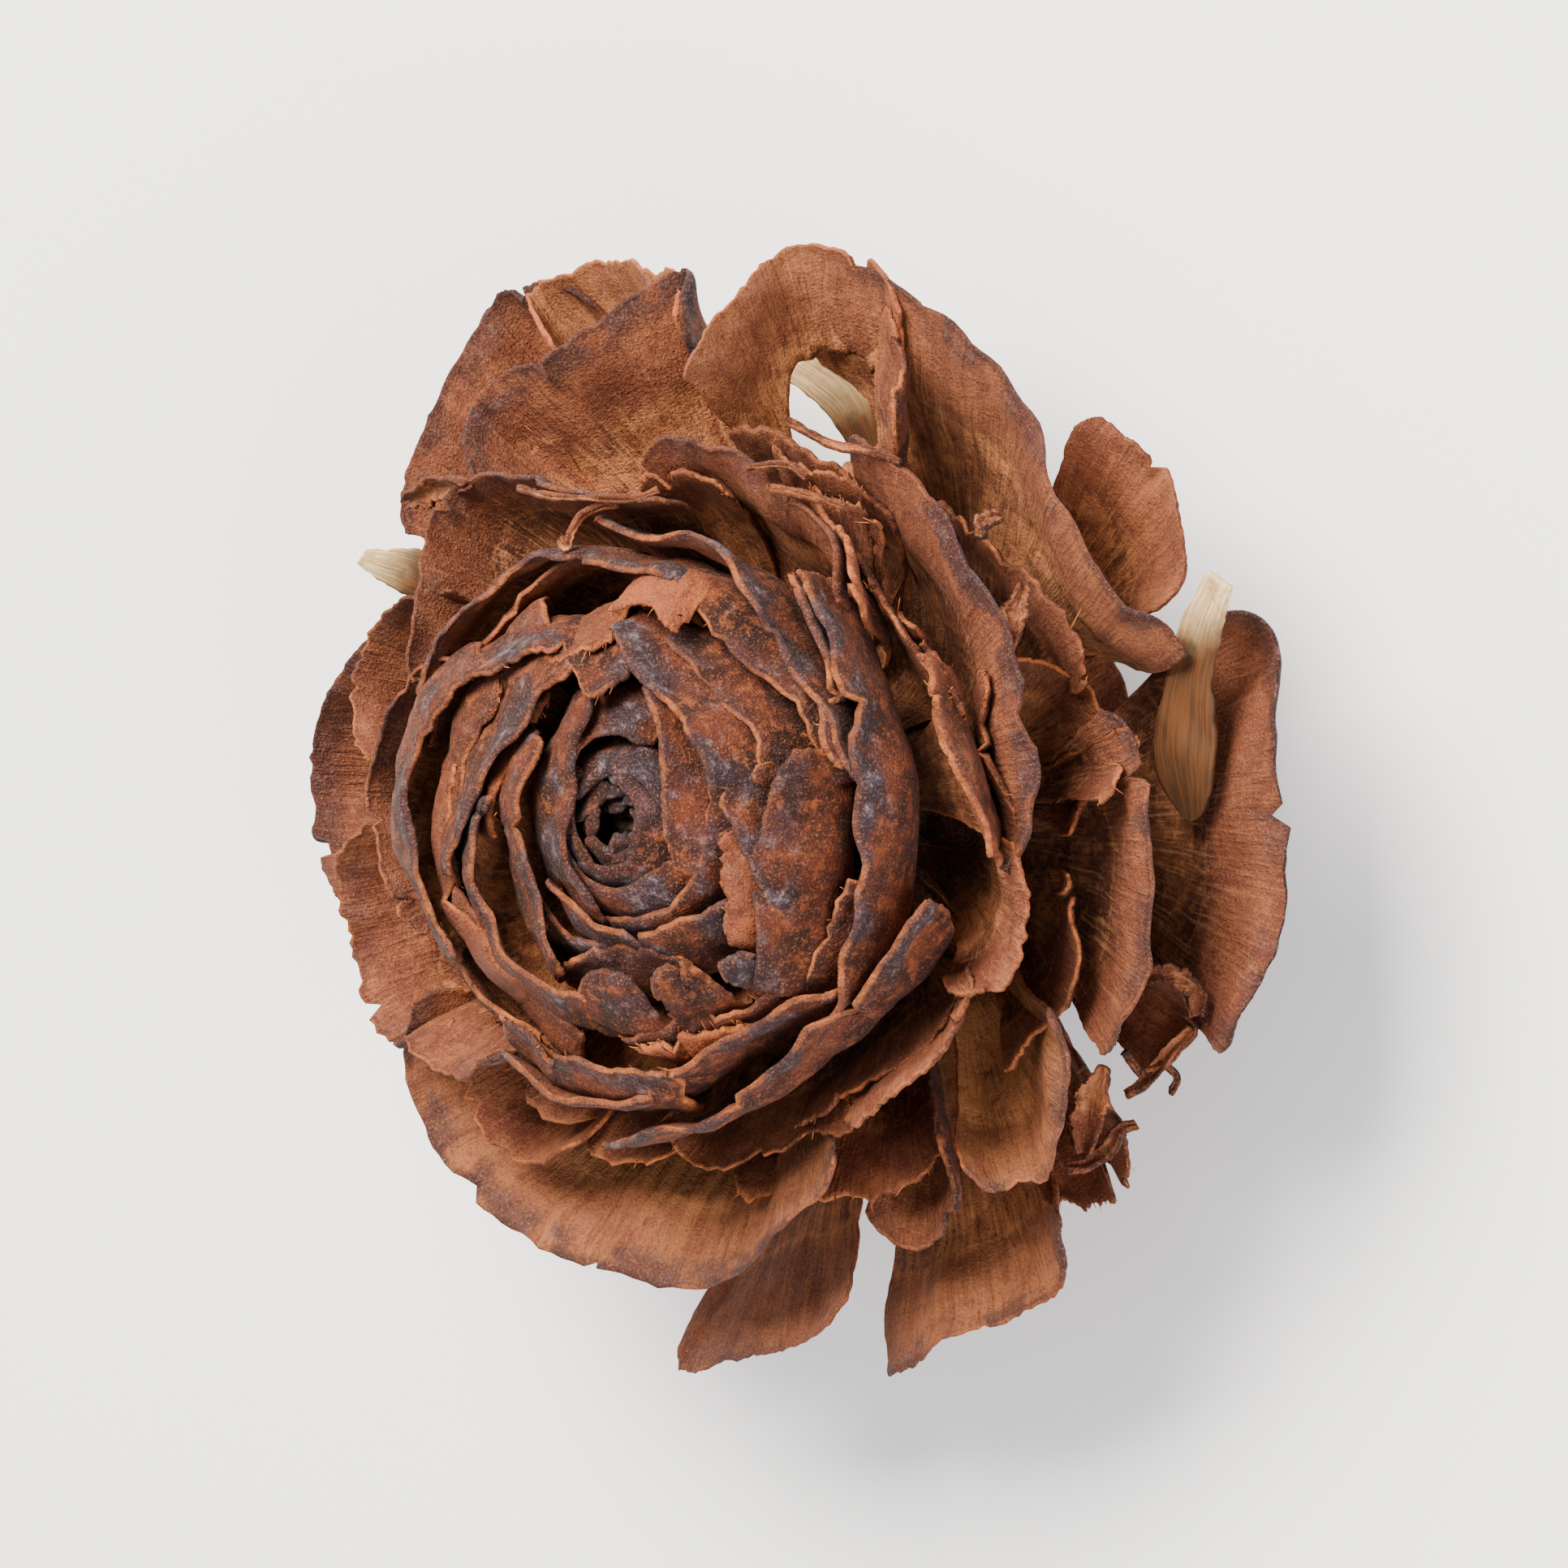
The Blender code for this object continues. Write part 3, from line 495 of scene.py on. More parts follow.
def warp(point, front, strength):
    """Moves a point of a scale along its normal in broad and fine waves."""
    shift = sum(high * noise.noise(point / size) for size, high in WARP)
    return point + front * shift * strength


def ease(x):
    """Packs grid lines towards both ends of 0 to 1."""
    return x - 0.75 * math.sin(2 * math.pi * x) / (2 * math.pi)


def blade_place(spot):
    """Where a grid's spot lies on the blade, across and from claw to rim, with its rows packed to the rim."""
    return ease(spot.x + 0.5), 1 - (0.5 - spot.y) ** 1.35


def round_over(gap, reach):
    """A quarter round: 0 at an edge, 1 from reach mm inward."""
    return math.sqrt(max(0.0, 1 - (1 - min(1.0, gap / reach)) ** 2))


def hole_reach(t, s, hole, seed):
    """How far a place is from a hole's middle, as a share of the way to its uneven edge."""
    reach = math.hypot((t - hole[0]) / hole[2], (s - hole[1]) / hole[3])
    turn = math.atan2(s - hole[1], t - hole[0])
    way = Vector((math.cos(turn) * HOLE_LOBES, math.sin(turn) * HOLE_LOBES, seed))
    return reach / (1 + HOLE_UNEVEN * noise.noise(way))


def in_hole(spot, hole, seed):
    """True inside the hole through a sheet."""
    return hole_reach(*blade_place(spot), hole, seed) < 1


def onto_hole(t, s, hole, seed):
    """Draws a place beside the hole onto its edge; others stay."""
    reach = hole_reach(t, s, hole, seed)
    if reach > HOLE_NEAR:
        return t, s
    return hole[0] + (t - hole[0]) / reach, hole[1] + (s - hole[1]) / reach


def draw_splits(draw, wide, torn):
    """Tears that run in from the rim: place across, depth and half width in mm, and which lip lifts."""
    count = int(wide * (SPLITS_PER_MM + torn) + draw.random())
    return [
        (
            draw.uniform(0.08, 0.92) * wide,
            draw.uniform(*SPLIT_DEEP) + SPLIT_BY_TORN * torn * draw.random(),
            draw.uniform(*SPLIT_HALF),
            draw.choice((-1, 1)) * draw.uniform(*SPLIT_LIFT),
        )
        for _ in range(count)
    ]


def tear_and_lift(across_mm, rim_gap, long, torn, splits, seed):
    """How deep the rim is torn away at a place across, and how far the lips of its splits lift there."""
    tear = (TEAR_MM + TEAR_BY_TORN * torn) * ripple(across_mm, seed)
    tear += torn * long * ripple(across_mm * 0.5, seed + 3.1)
    lift = 0.0
    for middle, depth, half, rise in splits:
        away = (across_mm - middle) / half
        tear += depth * max(0.0, 1 - abs(away)) ** 0.8
        near = max(0.0, 1 - rim_gap / (2 * depth))
        lift += rise * math.copysign(math.exp(-0.25 * abs(away)), away) * near
    return tear, lift


def add_layers(mesh):
    """Adds what materials and thickness read: place (mm across, claw to rim, lightness), edges (mm from the
    rim, mm from a side, greyness), how torn it is, and the weight of its thickness."""
    layers = mesh.verts.layers
    return (
        layers.float_vector.new("place"),
        layers.float_vector.new("edges"),
        layers.float.new("worn"),
        layers.deform.new(),
    )


def make_scale(bulk, name, kind, rim, claw_z, torn, light, grey, seed):
    """One scale, drawn on a grid and added to bulk. Gives back where loose fibres stand out of its rim."""
    rim = downward(rim)
    draw = random.Random(round(seed * 10))
    wide = run_length([blade_point(rim, kind, claw_z, 1, k / 12) for k in range(13)])
    long = run_length([blade_point(rim, kind, claw_z, k / 12, 0.5) for k in range(13)])
    splits = draw_splits(draw, wide, torn)
    roll = draw.uniform(-0.5, 0.5)
    sheet = bmesh.new()
    place, edges, worn, weigh = add_layers(sheet)
    bmesh.ops.create_grid(sheet, x_segments=kind.columns, y_segments=kind.rows, size=0.5)
    hole = HOLES.get(name)
    if hole:
        lost = [face for face in sheet.faces if in_hole(face.calc_center_median(), hole, seed)]
        bmesh.ops.delete(sheet, geom=lost, context="FACES")
    for vert in sheet.verts:
        t0, s0 = blade_place(vert.co)
        if hole and vert.is_boundary:
            t0, s0 = onto_hole(t0, s0, hole, seed)
        across_mm = t0 * wide
        rim_gap = (1 - s0) * long
        tear, lift = tear_and_lift(across_mm, rim_gap, long, torn, splits, seed)
        s = s0 * (1 - tear / long - CORNER_WORN * abs(2 * t0 - 1) ** 8)
        side = -1 if t0 < 0.5 else 1
        nick = SIDE_TEAR_MM * ripple(s0 * long, seed + 7.7 * side) / wide
        t = 0.5 + (t0 - 0.5) * (1 - 2 * nick)
        side_gap = min(t0, 1 - t0) * wide * (0.3 + 0.7 * s)

        point = blade_point(rim, kind, claw_z, s, t)
        across = blade_point(rim, kind, claw_z, s, t + 0.01) - point
        up = blade_point(rim, kind, claw_z, s + 0.01, t) - point
        front = across.cross(up).normalized()
        thick = kind.blade + (kind.rim - kind.blade) * max(0.0, (s0 - RIM_FROM) / (1 - RIM_FROM))
        curl = roll + 1.5 * noise.noise(Vector((across_mm / CURL_WAVE, seed, 2.0)))
        curl *= CURL_MM * math.exp(-rim_gap / CURL_WIDE)
        strength = (WARP_AT_CLAW + WARP_TO_RIM * s * s) * (1 + WARP_BY_CRUST * kind.crust)
        vert.co = (warp(point, front, strength) + front * (0.4 * thick + lift + curl)) * MM

        lumps = 1 + kind.crust * (noise.noise(point / 1.7) + 0.6 * noise.noise(point / 0.6))
        full = min(round_over(rim_gap, kind.shoulder), round_over(side_gap, 1.2 * kind.shoulder))
        vert[place] = (across_mm, s0, light)
        vert[edges] = (rim_gap, side_gap, grey)
        vert[worn] = torn * 10
        vert[weigh][0] = min(1.0, (LIP_MM + (thick * lumps - LIP_MM) * full) / FULL_MM)
    frays = fray_points(sheet, place, torn, draw)
    add_sheet(bulk, sheet)
    return frays


def make_strip(bulk, width, turns, light, line, seed):
    """A torn strip: a ribbon along a line, turning about it and frayed at both edges and its end."""
    line = downward(line)
    rows = STRIP_ROWS[0] + STRIP_ROWS[1] * len(line)
    sheet = bmesh.new()
    place, edges, worn, weigh = add_layers(sheet)
    bmesh.ops.create_grid(sheet, x_segments=STRIP_COLUMNS, y_segments=rows, size=0.5)
    for vert in sheet.verts:
        u, t = 2 * vert.co.x, vert.co.y + 0.5
        here = polar(*along(line, t))
        way = (polar(*along(line, min(1, t + 0.02))) - polar(*along(line, max(0, t - 0.02)))).normalized()
        turn = Matrix.Rotation(math.radians(between(turns, t)), 3, way)
        side = turn @ way.cross(BACK).normalized()
        taper = 0.12 + 0.88 * math.sin(math.pi * (0.04 + 0.9 * t)) ** 0.8
        fray = max(0.15, 1 - 0.9 * ripple(t * 9, seed + (u > 0)))
        half = 0.5 * width * taper * fray
        dip = 0.25 * width * (u * u - 0.5)
        front = side.cross(way)
        point = here + side * u * half + front * (dip + 0.12 * noise.noise(here + side * u))
        vert.co = point * MM
        vert[place] = (0.5 * width * u + 0.5 * t, 0.5 + 0.4 * t, light)
        vert[edges] = (STRIP_RIM_GAP, 0.5 * width * (1 - abs(u)) + STRIP_SIDE_GAP, STRIP_GREY)
        vert[worn] = STRIP_WORN
        vert[weigh][0] = 0.05 + 0.1 * math.sqrt(1 - u * u * 0.98)
    add_sheet(bulk, sheet)


def fray_points(sheet, place, torn, draw):
    """Places on a torn rim where loose fibres stand out, each with its way out of the sheet."""
    out = []
    for vert in sheet.verts:
        if vert[place][1] < 0.999 or draw.random() > FRAY_BY_TORN * torn - FRAY_FROM:
            continue
        inward = [edge.other_vert(vert) for edge in vert.link_edges]
        inward = [other for other in inward if other[place][1] < 0.999]
        if inward:
            out.append((vert.co.copy(), (vert.co - inward[0].co).normalized()))
    return out


def make_fibres(frays, mat):
    """Loose fibres on torn rims: thin tapered splinters, each a little off its neighbours' way."""
    draw = random.Random(FIBRE_SEED)
    bulk = bmesh.new()
    for spot, way in frays:
        way = (way + Vector([draw.uniform(-0.4, 0.4) for _ in range(3)])).normalized()
        long = draw.uniform(*FIBRE_LONG) * (LONG_FIBRE if draw.random() < LONG_FIBRE_SHARE else 1)
        turn = way.to_track_quat("Z", "Y").to_matrix().to_4x4()
        middle = Matrix.Translation(spot + way * (0.4 * long * MM))
        radius = draw.uniform(*FIBRE_R)
        bmesh.ops.create_cone(bulk, cap_ends=True, segments=4, radius1=radius * MM, radius2=FIBRE_TIP_R * MM,
                              depth=long * MM, matrix=middle @ turn)
    return make_piece("torn_fibres", bulk, (mat,), "rose_cone")


def add_sheet(bulk, sheet):
    mesh = bpy.data.meshes.new("sheet")
    sheet.to_mesh(mesh)
    sheet.free()
    bulk.from_mesh(mesh)
    bpy.data.meshes.remove(mesh)


def new_bulk():
    bulk = bmesh.new()
    add_layers(bulk)
    return bulk


def make_piece(name, bulk, materials, node):
    mesh = bpy.data.meshes.new(name)
    bulk.to_mesh(mesh)
    bulk.free()
    for face in mesh.polygons:
        face.use_smooth = True
    piece = bpy.data.objects.new(name, mesh)
    bpy.context.scene.collection.objects.link(piece)
    for mat in materials:
        mesh.materials.append(mat)
    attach(piece, "root")
    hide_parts(node)
    return piece


def thicken(piece, thickness, grouped):
    """Gives a sheet its thickness: backward by its vertices' weights, or the same all over to both sides."""
    solid = piece.modifiers.new("thickness", "SOLIDIFY")
    solid.thickness = thickness * MM
    solid.offset = 0.0
    if grouped:
        piece.vertex_groups.new(name="thickness")
        solid.vertex_group = "thickness"
        solid.offset = -1.0
    solid.material_offset = 1
    solid.material_offset_rim = 1


def put(tree, kind, inputs=None, **settings):
    """Adds a node with its settings, and its inputs as values or sockets to link. Gives its outputs."""
    item = tree.nodes.new("ShaderNode" + kind)
    for key, value in settings.items():
        setattr(item, key, value)
    for key, value in (inputs or {}).items():
        if isinstance(value, bpy.types.NodeSocket):
            tree.links.new(value, item.inputs[key])
        else:
            item.inputs[key].default_value = value
    return item.outputs


def mask(tree, patterns, runs):
    """The product of runs. A run is a pattern's name, or its name, two of its values and the shares there,
    with a smooth step between them."""
    share = 1.0
    for run in runs:
        if isinstance(run, str):
            part = patterns[run]
        else:
            part = put(tree, "MapRange", {0: patterns[run[0]], 1: run[1], 2: run[2], 3: run[3], 4: run[4]},
                       interpolation_type="SMOOTHSTEP")[0]
        share = put(tree, "Math", {0: share, 1: part}, operation="MULTIPLY")[0]
    return share


def paint(tree, patterns, base, layers):
    """Lays colours, each a hex value or a socket, over a base, where the mask of their runs lets them."""
    colour = linear(base)
    for tint, *runs in layers:
        tint = linear(tint) if isinstance(tint, str) else tint
        share = mask(tree, patterns, runs)
        colour = put(tree, "Mix", {0: share, 6: colour, 7: tint}, data_type="RGBA")[2]
    return colour


def dress(tree, shader, colour, relief, strength, deep):
    """Gives a shader its colour and a relief that is deep metres high."""
    tree.links.new(colour, shader.inputs["Base Color"])
    bump = put(tree, "Bump", {"Height": relief, "Strength": strength, "Distance": deep})
    tree.links.new(bump[0], shader.inputs["Normal"])


def start_material(name, roughness, specular):
    """A material with its finish set. Gives the places on its object in mm, to hang patterns on, as well."""
    mat = bpy.data.materials.new(name)
    mat.use_nodes = True
    tree = mat.node_tree
    shader = tree.nodes["Principled BSDF"]
    shader.inputs["Roughness"].default_value = roughness
    shader.inputs["IOR"].default_value = 1.5
    shader.inputs["Specular IOR Level"].default_value = specular
    spot = put(tree, "TexCoord")["Object"]
    in_mm = put(tree, "VectorMath", {0: spot, 1: (1000, 1000, 1000)}, operation="MULTIPLY")[0]
    return mat, tree, shader, in_mm


# The inner face's colours, each where its runs let it: satin tissue, the arc that the seed's wing leaves,
# with a fine light line along it, painted shade towards the claw (in part the tissue's own darker brown there,
# in part the shade of the deep gaps between the scales), and a grey bloom near the rim whose light crest is a
# painted highlight.
INNER_BASE = "5E2F1E"
INNER_PAINT = (
    ("A0603C", ("blotch", 0.4, 0.6, 0, 1)),
    # Each scale's lightness: partly its own tone, partly painted light and shade.
    ("C4834F", ("light", 0, 1, 0, 0.9)),
    ("2E1710", ("light", 0, -1, 0, 0.9)),
    ("B4744A", ("mottle", 0.5, 0.68, 0, 0.5)),
    ("54271A", ("mottle", 0.48, 0.32, 0, 0.6)),
    ("C08A5E", ("fibres", 0.5, 0.75, 0, 0.6)),
    ("432113", ("fibres", 0.5, 0.25, 0, 0.7)),
    ("542C1A", ("veins", 0.5, 0.3, 0, 0.5)),
    ("6B3826", ("arc", 0.84, 0.9, 0, 0.65)),
    ("B8764A", ("arc", 0.838, 0.848, 0, 1), ("arc", 0.86, 0.85, 0, 0.25)),
    # Darker towards the claw: painted shade of the deep gaps between the scales, and partly the tissue's own
    # darker brown.
    ("2C160D", ("s", 0.5, 0.12, 0, 0.8)),
    ("241A20", "bloom"),
    ("4A4146", "bloom", ("mottle", 0.42, 0.7, 0, 0.375)),
    # A painted highlight: the velvet's silvery sheen, laid on the bloom's lightest flecks.
    ("8D8084", "bloom", ("mottle", 0.56, 0.72, 0, 0.15)),
)
# The outer face's: rust-brown velvet with light flecks, the same painted shade towards the claw, and stronger
# bloom with the same painted highlight on its crest.
OUTER_BASE = "2B130D"
OUTER_PAINT = (
    ("542514", ("blotch", 0.4, 0.6, 0, 1)),
    # Each scale's lightness: partly its own tone, partly painted light and shade.
    ("B8623A", ("light", 0, 1, 0, 1)),
    ("1E100C", ("light", 0, -1, 0, 0.9)),
    ("7E4020", ("mottle", 0.5, 0.66, 0, 0.7)),
    ("2C130B", ("mottle", 0.48, 0.3, 0, 0.5)),
    # Darker towards the claw: painted shade of the deep gaps between the scales, and partly the tissue's own
    # darker brown.
    ("2C160D", ("s", 0.5, 0.12, 0, 0.8)),
    ("241A20", "bloom"),
    ("4A4146", "bloom", ("mottle", 0.42, 0.7, 0, 0.75)),
    # A painted highlight: the velvet's silvery sheen, laid on the bloom's lightest flecks.
    ("8D8084", "bloom", ("mottle", 0.56, 0.72, 0, 0.45)),
)
# Both faces': a fine dark line along a sound rim, light orange broken tissue where it is torn, and the nap.
EDGE_PAINT = (
    ("2F1B1C", ("rim_gap", 0.7, 0.1, 0, 1), ("grey", 0.1, 0.4, 0, 1), ("blotch", 0.42, 0.58, 0.05, 0.75)),
    ("AC5F32", "edge", ("worn", 0.05, 0.5, 0, 1), ("mottle", 0.35, 0.6, 0.35, 0.9),
     ("patch", 0.72, 0.5, 0.1, 1)),
    ("A8734F", ("nap", 0.52, 0.74, 0, 0.4)),
    ("1E0E09", ("nap", 0.5, 0.25, 0, 0.5)),
)


def scale_material(name, outer):
    """Dry cedar scale. Its inner face is satin wood tissue with fibres that fan out from the claw. Its outer
    face is rust-brown velvet, with a purple-grey bloom near the rim whose light crest is a painted highlight.
    Both faces are darker towards the claw, partly painted shade. Sound rims are dark, torn ones light."""
    mat, tree, shader, spot = start_material(name, 0.75, 0.14)
    place = put(tree, "Attribute", attribute_name="place")["Vector"]
    edges = put(tree, "Attribute", attribute_name="edges")["Vector"]
    fan = put(tree, "VectorMath", {0: place, 1: (1.0, 2.2, 9.0)}, operation="MULTIPLY")[0]
    far = put(tree, "VectorMath", {0: spot, 1: (31, 7, 13)}, operation="ADD")[0]
    # Fibres are about 0.3 mm apart and run from the claw to the rim. Blotches and clouds of bloom are a few
    # mm across, and the nap is a tenth of a mm fine. Each has what it hangs on, its scale per mm, its detail
    # and its roughness.
    grains = {
        "fibres": (fan, 3.4, 3.0, 0.6),
        "veins": (fan, 0.9, 2.0, 0.5),
        "blotch": (spot, 0.3, 3.0, 0.55),
        "mottle": (spot, 1.2, 4.0, 0.65),
        "nap": (spot, 6.5, 2.0, 0.7),
        "wobble": (spot, 0.14, 0.0, 0.5),
        "cloud": (far, 0.3, 2.0, 0.5),
    }
    patterns = {
        key: put(tree, "TexNoise", {"Vector": on, "Scale": scale, "Detail": detail, "Roughness": rough})[0]
        for key, (on, scale, detail, rough) in grains.items()
    }
    _, patterns["s"], patterns["light"] = put(tree, "SeparateXYZ", {0: place})
    patterns["rim_gap"], patterns["side_gap"], patterns["grey"] = put(tree, "SeparateXYZ", {0: edges})
    patterns["worn"] = put(tree, "Attribute", attribute_name="worn")["Fac"]
    for key, pattern, share, under in (("arc", "wobble", 0.16, "s"), ("patch", "mottle", 0.2, "cloud")):
        patterns[key] = put(tree, "Math", {0: patterns[pattern], 1: share, 2: patterns[under]},
                            operation="MULTIPLY_ADD")[0]
    spread, bloom = (3.6, 1.0) if outer else (2.3, 0.8)
    runs = (("rim_gap", spread, 0.4 * spread, 0, bloom), ("patch", 0.53, 0.66, 0, 1), "grey")
    patterns["bloom"] = mask(tree, patterns, runs)
    rim = mask(tree, patterns, (("rim_gap", 0.22, 0.05, 0, 1),))
    sides = mask(tree, patterns, (("side_gap", 0.3, 0.05, 0, 1),))
    patterns["edge"] = put(tree, "Math", {0: rim, 1: sides}, operation="ADD")[0]
    base, layers = (OUTER_BASE, OUTER_PAINT) if outer else (INNER_BASE, INNER_PAINT)
    colour = paint(tree, patterns, base, layers + EDGE_PAINT)

    # The fibres stand out towards the rim, more so on the inner face; the nap and the mottle are all over.
    relief = mask(tree, patterns, ("fibres", ("s", 0.3, 0.75, 0, 0.35 if outer else 0.9)))
    for key, share in (("nap", 0.5), ("mottle", 0.8)):
        relief = put(tree, "Math", {0: patterns[key], 1: share, 2: relief}, operation="MULTIPLY_ADD")[0]
    dress(tree, shader, colour, relief, 1.0, 0.0003)
    shader.inputs["Sheen Weight"].default_value = 0.05 if outer else 0.02
    shader.inputs["Sheen Roughness"].default_value = 0.5
    shader.inputs["Sheen Tint"].default_value = linear("C9B8B4")
    return mat


def axis_material():
    """The bud's dead heart and the broken stub: dark, crumbly wood with soot-black pits and olive crumbs."""
    mat, tree, shader, spot = start_material("crumbled_bud_wood", 0.95, 0.2)
    crumbs = put(tree, "TexNoise", {"Vector": spot, "Scale": 1.6, "Detail": 4.0, "Roughness": 0.7})[0]
    specks = put(tree, "TexNoise", {"Vector": spot, "Scale": 4.5, "Detail": 2.0, "Roughness": 0.6})[0]
    layers = (("4A3024", ("crumbs", 0.4, 0.62, 0, 1)), ("5E5230", ("specks", 0.62, 0.72, 0, 0.7)))
    colour = paint(tree, {"crumbs": crumbs, "specks": specks}, "17110F", layers)
    relief = put(tree, "Math", {0: specks, 1: 0.5, 2: crumbs}, operation="MULTIPLY_ADD")[0]
    dress(tree, shader, colour, relief, 1.0, 0.0005)
    return mat


def fibre_material():
    """Broken cedar fibre, lighter than the weathered faces: rust to light tan, each splinter its own tone."""
    mat, tree, shader, spot = start_material("torn_cedar_fibre", 0.7, 0.15)
    tone = put(tree, "TexNoise", {"Vector": spot, "Scale": 0.6, "Detail": 2.0, "Roughness": 0.5})[0]
    colour = paint(tree, {"tone": tone}, "7A3E20", (("B4713F", ("tone", 0.4, 0.6, 0, 1)),))
    tree.links.new(colour, shader.inputs["Base Color"])
    return mat


def wing_material():
    """A seed's wing: a papery skin, cream and a little see-through, with fine ribs along it, stained brown in
    places and dark at the end that held the seed."""
    mat, tree, shader, spot = start_material("papery_seed_wing", 0.65, 0.15)
    place = put(tree, "Attribute", attribute_name="place")["Vector"]
    lines = put(tree, "VectorMath", {0: place, 1: (1.0, 0.2, 1.0)}, operation="MULTIPLY")[0]
    ribs = put(tree, "TexNoise", {"Vector": lines, "Scale": 4.0, "Detail": 2.0, "Roughness": 0.5})[0]
    stain = put(tree, "TexNoise", {"Vector": spot, "Scale": 0.9, "Detail": 3.0, "Roughness": 0.6})[0]
    up = put(tree, "SeparateXYZ", {0: place})[1]
    length = put(tree, "Math", {0: up, 1: stain}, operation="ADD")[0]
    patterns = {"ribs": ribs, "stain": stain, "length": length}
    husk = paint(tree, patterns, "3A1F0F", (("54301A", ("ribs", 0.4, 0.6, 0, 1)),))
    layers = (
        ("B8925F", ("ribs", 0.35, 0.65, 0, 1)),
        ("9C6636", ("stain", 0.5, 0.7, 0, 0.6)),
        (husk, ("length", 5.0, 3.4, 0, 0.97)),
    )
    dress(tree, shader, paint(tree, patterns, "D6BC8E", layers), ribs, 0.5, 0.0001)
    shader.inputs["Subsurface Weight"].default_value = 0.1
    shader.inputs["Subsurface Radius"].default_value = (0.001, 0.0006, 0.0003)
    return mat


def add_shown_scales(bulks):
    """The scales of SCALES, each in its group's bulk. Gives back where they fray."""
    frays = []
    for k, (name, kind, lift, torn, light, grey, stations) in enumerate(SCALES):
        group = name.split("_")[0]
        if group not in bulks:
            bulks[group] = new_bulk()
        claw_z = claw_height(stations) + CLAW_LIFT * lift
        frays += make_scale(bulks[group], name, kind, on_dome(stations, lift), claw_z, torn, light, grey,
                            seed_of(SCALE_SEEDS, k))
    return frays


def add_scales_between(bulks):
    """The scales of BETWEEN, half as fine as the others. Gives back where they fray."""
    bulks["between"] = new_bulk()
    frays = []
    for k, (kind, lift, torn, light, grey, stations) in enumerate(BETWEEN):
        kind = kind._replace(rows=kind.rows // 2, columns=kind.columns // 2)
        claw_z = claw_height(stations) - BETWEEN_DROP
        frays += make_scale(bulks["between"], "between", kind, on_dome(stations, lift), claw_z, torn, light,
                            grey, seed_of(BETWEEN_SEEDS, k))
    return frays


def add_strips(bulks):
    for k, (group, width, turns, light, lift, stations) in enumerate(STRIPS):
        make_strip(bulks[group], width, turns, light, on_dome(stations, lift), seed_of(STRIP_SEEDS, k))


def add_heart(bulk, draw):
    """Crumbled tips that spiral out round the axis, darkest in the middle."""
    for k in range(HEART_COUNT):
        share = k / (HEART_COUNT - 1)
        radius = between(HEART_R, share)
        lift = between(HEART_LIFT, share) + draw.uniform(-HEART_LIFT_DRAW, HEART_LIFT_DRAW)
        rim = round_rim(HIDDEN_TURN * k, HEART_HALF, radius, HEART_DROOP, crown(radius) + lift)
        make_scale(bulk, "heart", CRUMB, rim, HEART_CLAW_Z, 0.0, between(HEART_LIGHT, share), 1.0,
                   seed_of(HEART_SEEDS, k))


def add_hidden_scales(bulk, draw):
    """Plain scales in a spiral under the others, from the lowest up."""
    for k in range(HIDDEN_COUNT):
        share = k / (HIDDEN_COUNT - 1)
        az = HIDDEN_START + HIDDEN_TURN * k + draw.uniform(-HIDDEN_TURN_DRAW, HIDDEN_TURN_DRAW)
        rim = round_rim(az, HIDDEN_HALF, between(HIDDEN_R, share), HIDDEN_DROOP, between(HIDDEN_RIM_Z, share))
        make_scale(bulk, "hidden", LOBE, rim, between(HIDDEN_CLAW_Z, share), 0.02, -0.2, 0.2,
                   seed_of(HIDDEN_SEEDS, k))


def add_rest_scales(bulk):
    """The three lowest scales, which reach the ground."""
    for k, az in enumerate(REST_AZ):
        rim = round_rim(az, REST_HALF, REST_R, REST_DROOP, REST_Z)
        make_scale(bulk, "rest", LOBE, rim, REST_CLAW_Z, 0.0, 0.0, 0.2, seed_of(REST_SEEDS, k))


def make_scales(inner, outer, fibre):
    """Every scale and strip, as one piece for each group of scales, and the fibres that fray from them."""
    bulks = {}
    frays = add_shown_scales(bulks)
    frays += add_scales_between(bulks)
    add_strips(bulks)
    draw = random.Random(UNDER_SEED)
    add_heart(bulks["tip"], draw)
    bulks["under"] = new_bulk()
    add_hidden_scales(bulks["under"], draw)
    add_rest_scales(bulks["under"])
    make_fibres(frays, fibre)
    for group, bulk in bulks.items():
        piece = make_piece(group + "_scales", bulk, (inner, outer), "rose_cone")
        thicken(piece, FULL_MM, True)


def make_axis(mat):
    """The woody axis, turned round +Z, with its top crumbled."""
    bulk = bmesh.new()
    line = [bulk.verts.new(Vector((r, 0, z)) * MM) for r, z in AXIS_PROFILE]
    for pair in zip(line, line[1:]):
        bulk.edges.new(pair)
    bmesh.ops.subdivide_edges(bulk, edges=bulk.edges[:], cuts=AXIS_CUTS)
    bmesh.ops.spin(bulk, geom=bulk.verts[:] + bulk.edges[:], cent=(0, 0, 0), axis=(0, 0, 1), angle=math.tau,
                   steps=AXIS_STEPS, use_merge=True)
    bmesh.ops.remove_doubles(bulk, verts=bulk.verts[:], dist=0.00001)
    bmesh.ops.recalc_face_normals(bulk, faces=bulk.faces[:])
    for vert in bulk.verts:
        top = max(0.0, (vert.co.z / MM - CRUMBLE_FROM_Z) / CRUMBLE_DEEP)
        spot = vert.co / MM
        shift = top * 0.35 * noise.noise(spot * 1.3) + 0.12 * noise.noise(spot * 0.8)
        if vert.co.z > FLAT_BELOW * MM:
            vert.co += vert.normal * shift * MM
    return make_piece("bud_heart", bulk, (mat,), "rose_cone")


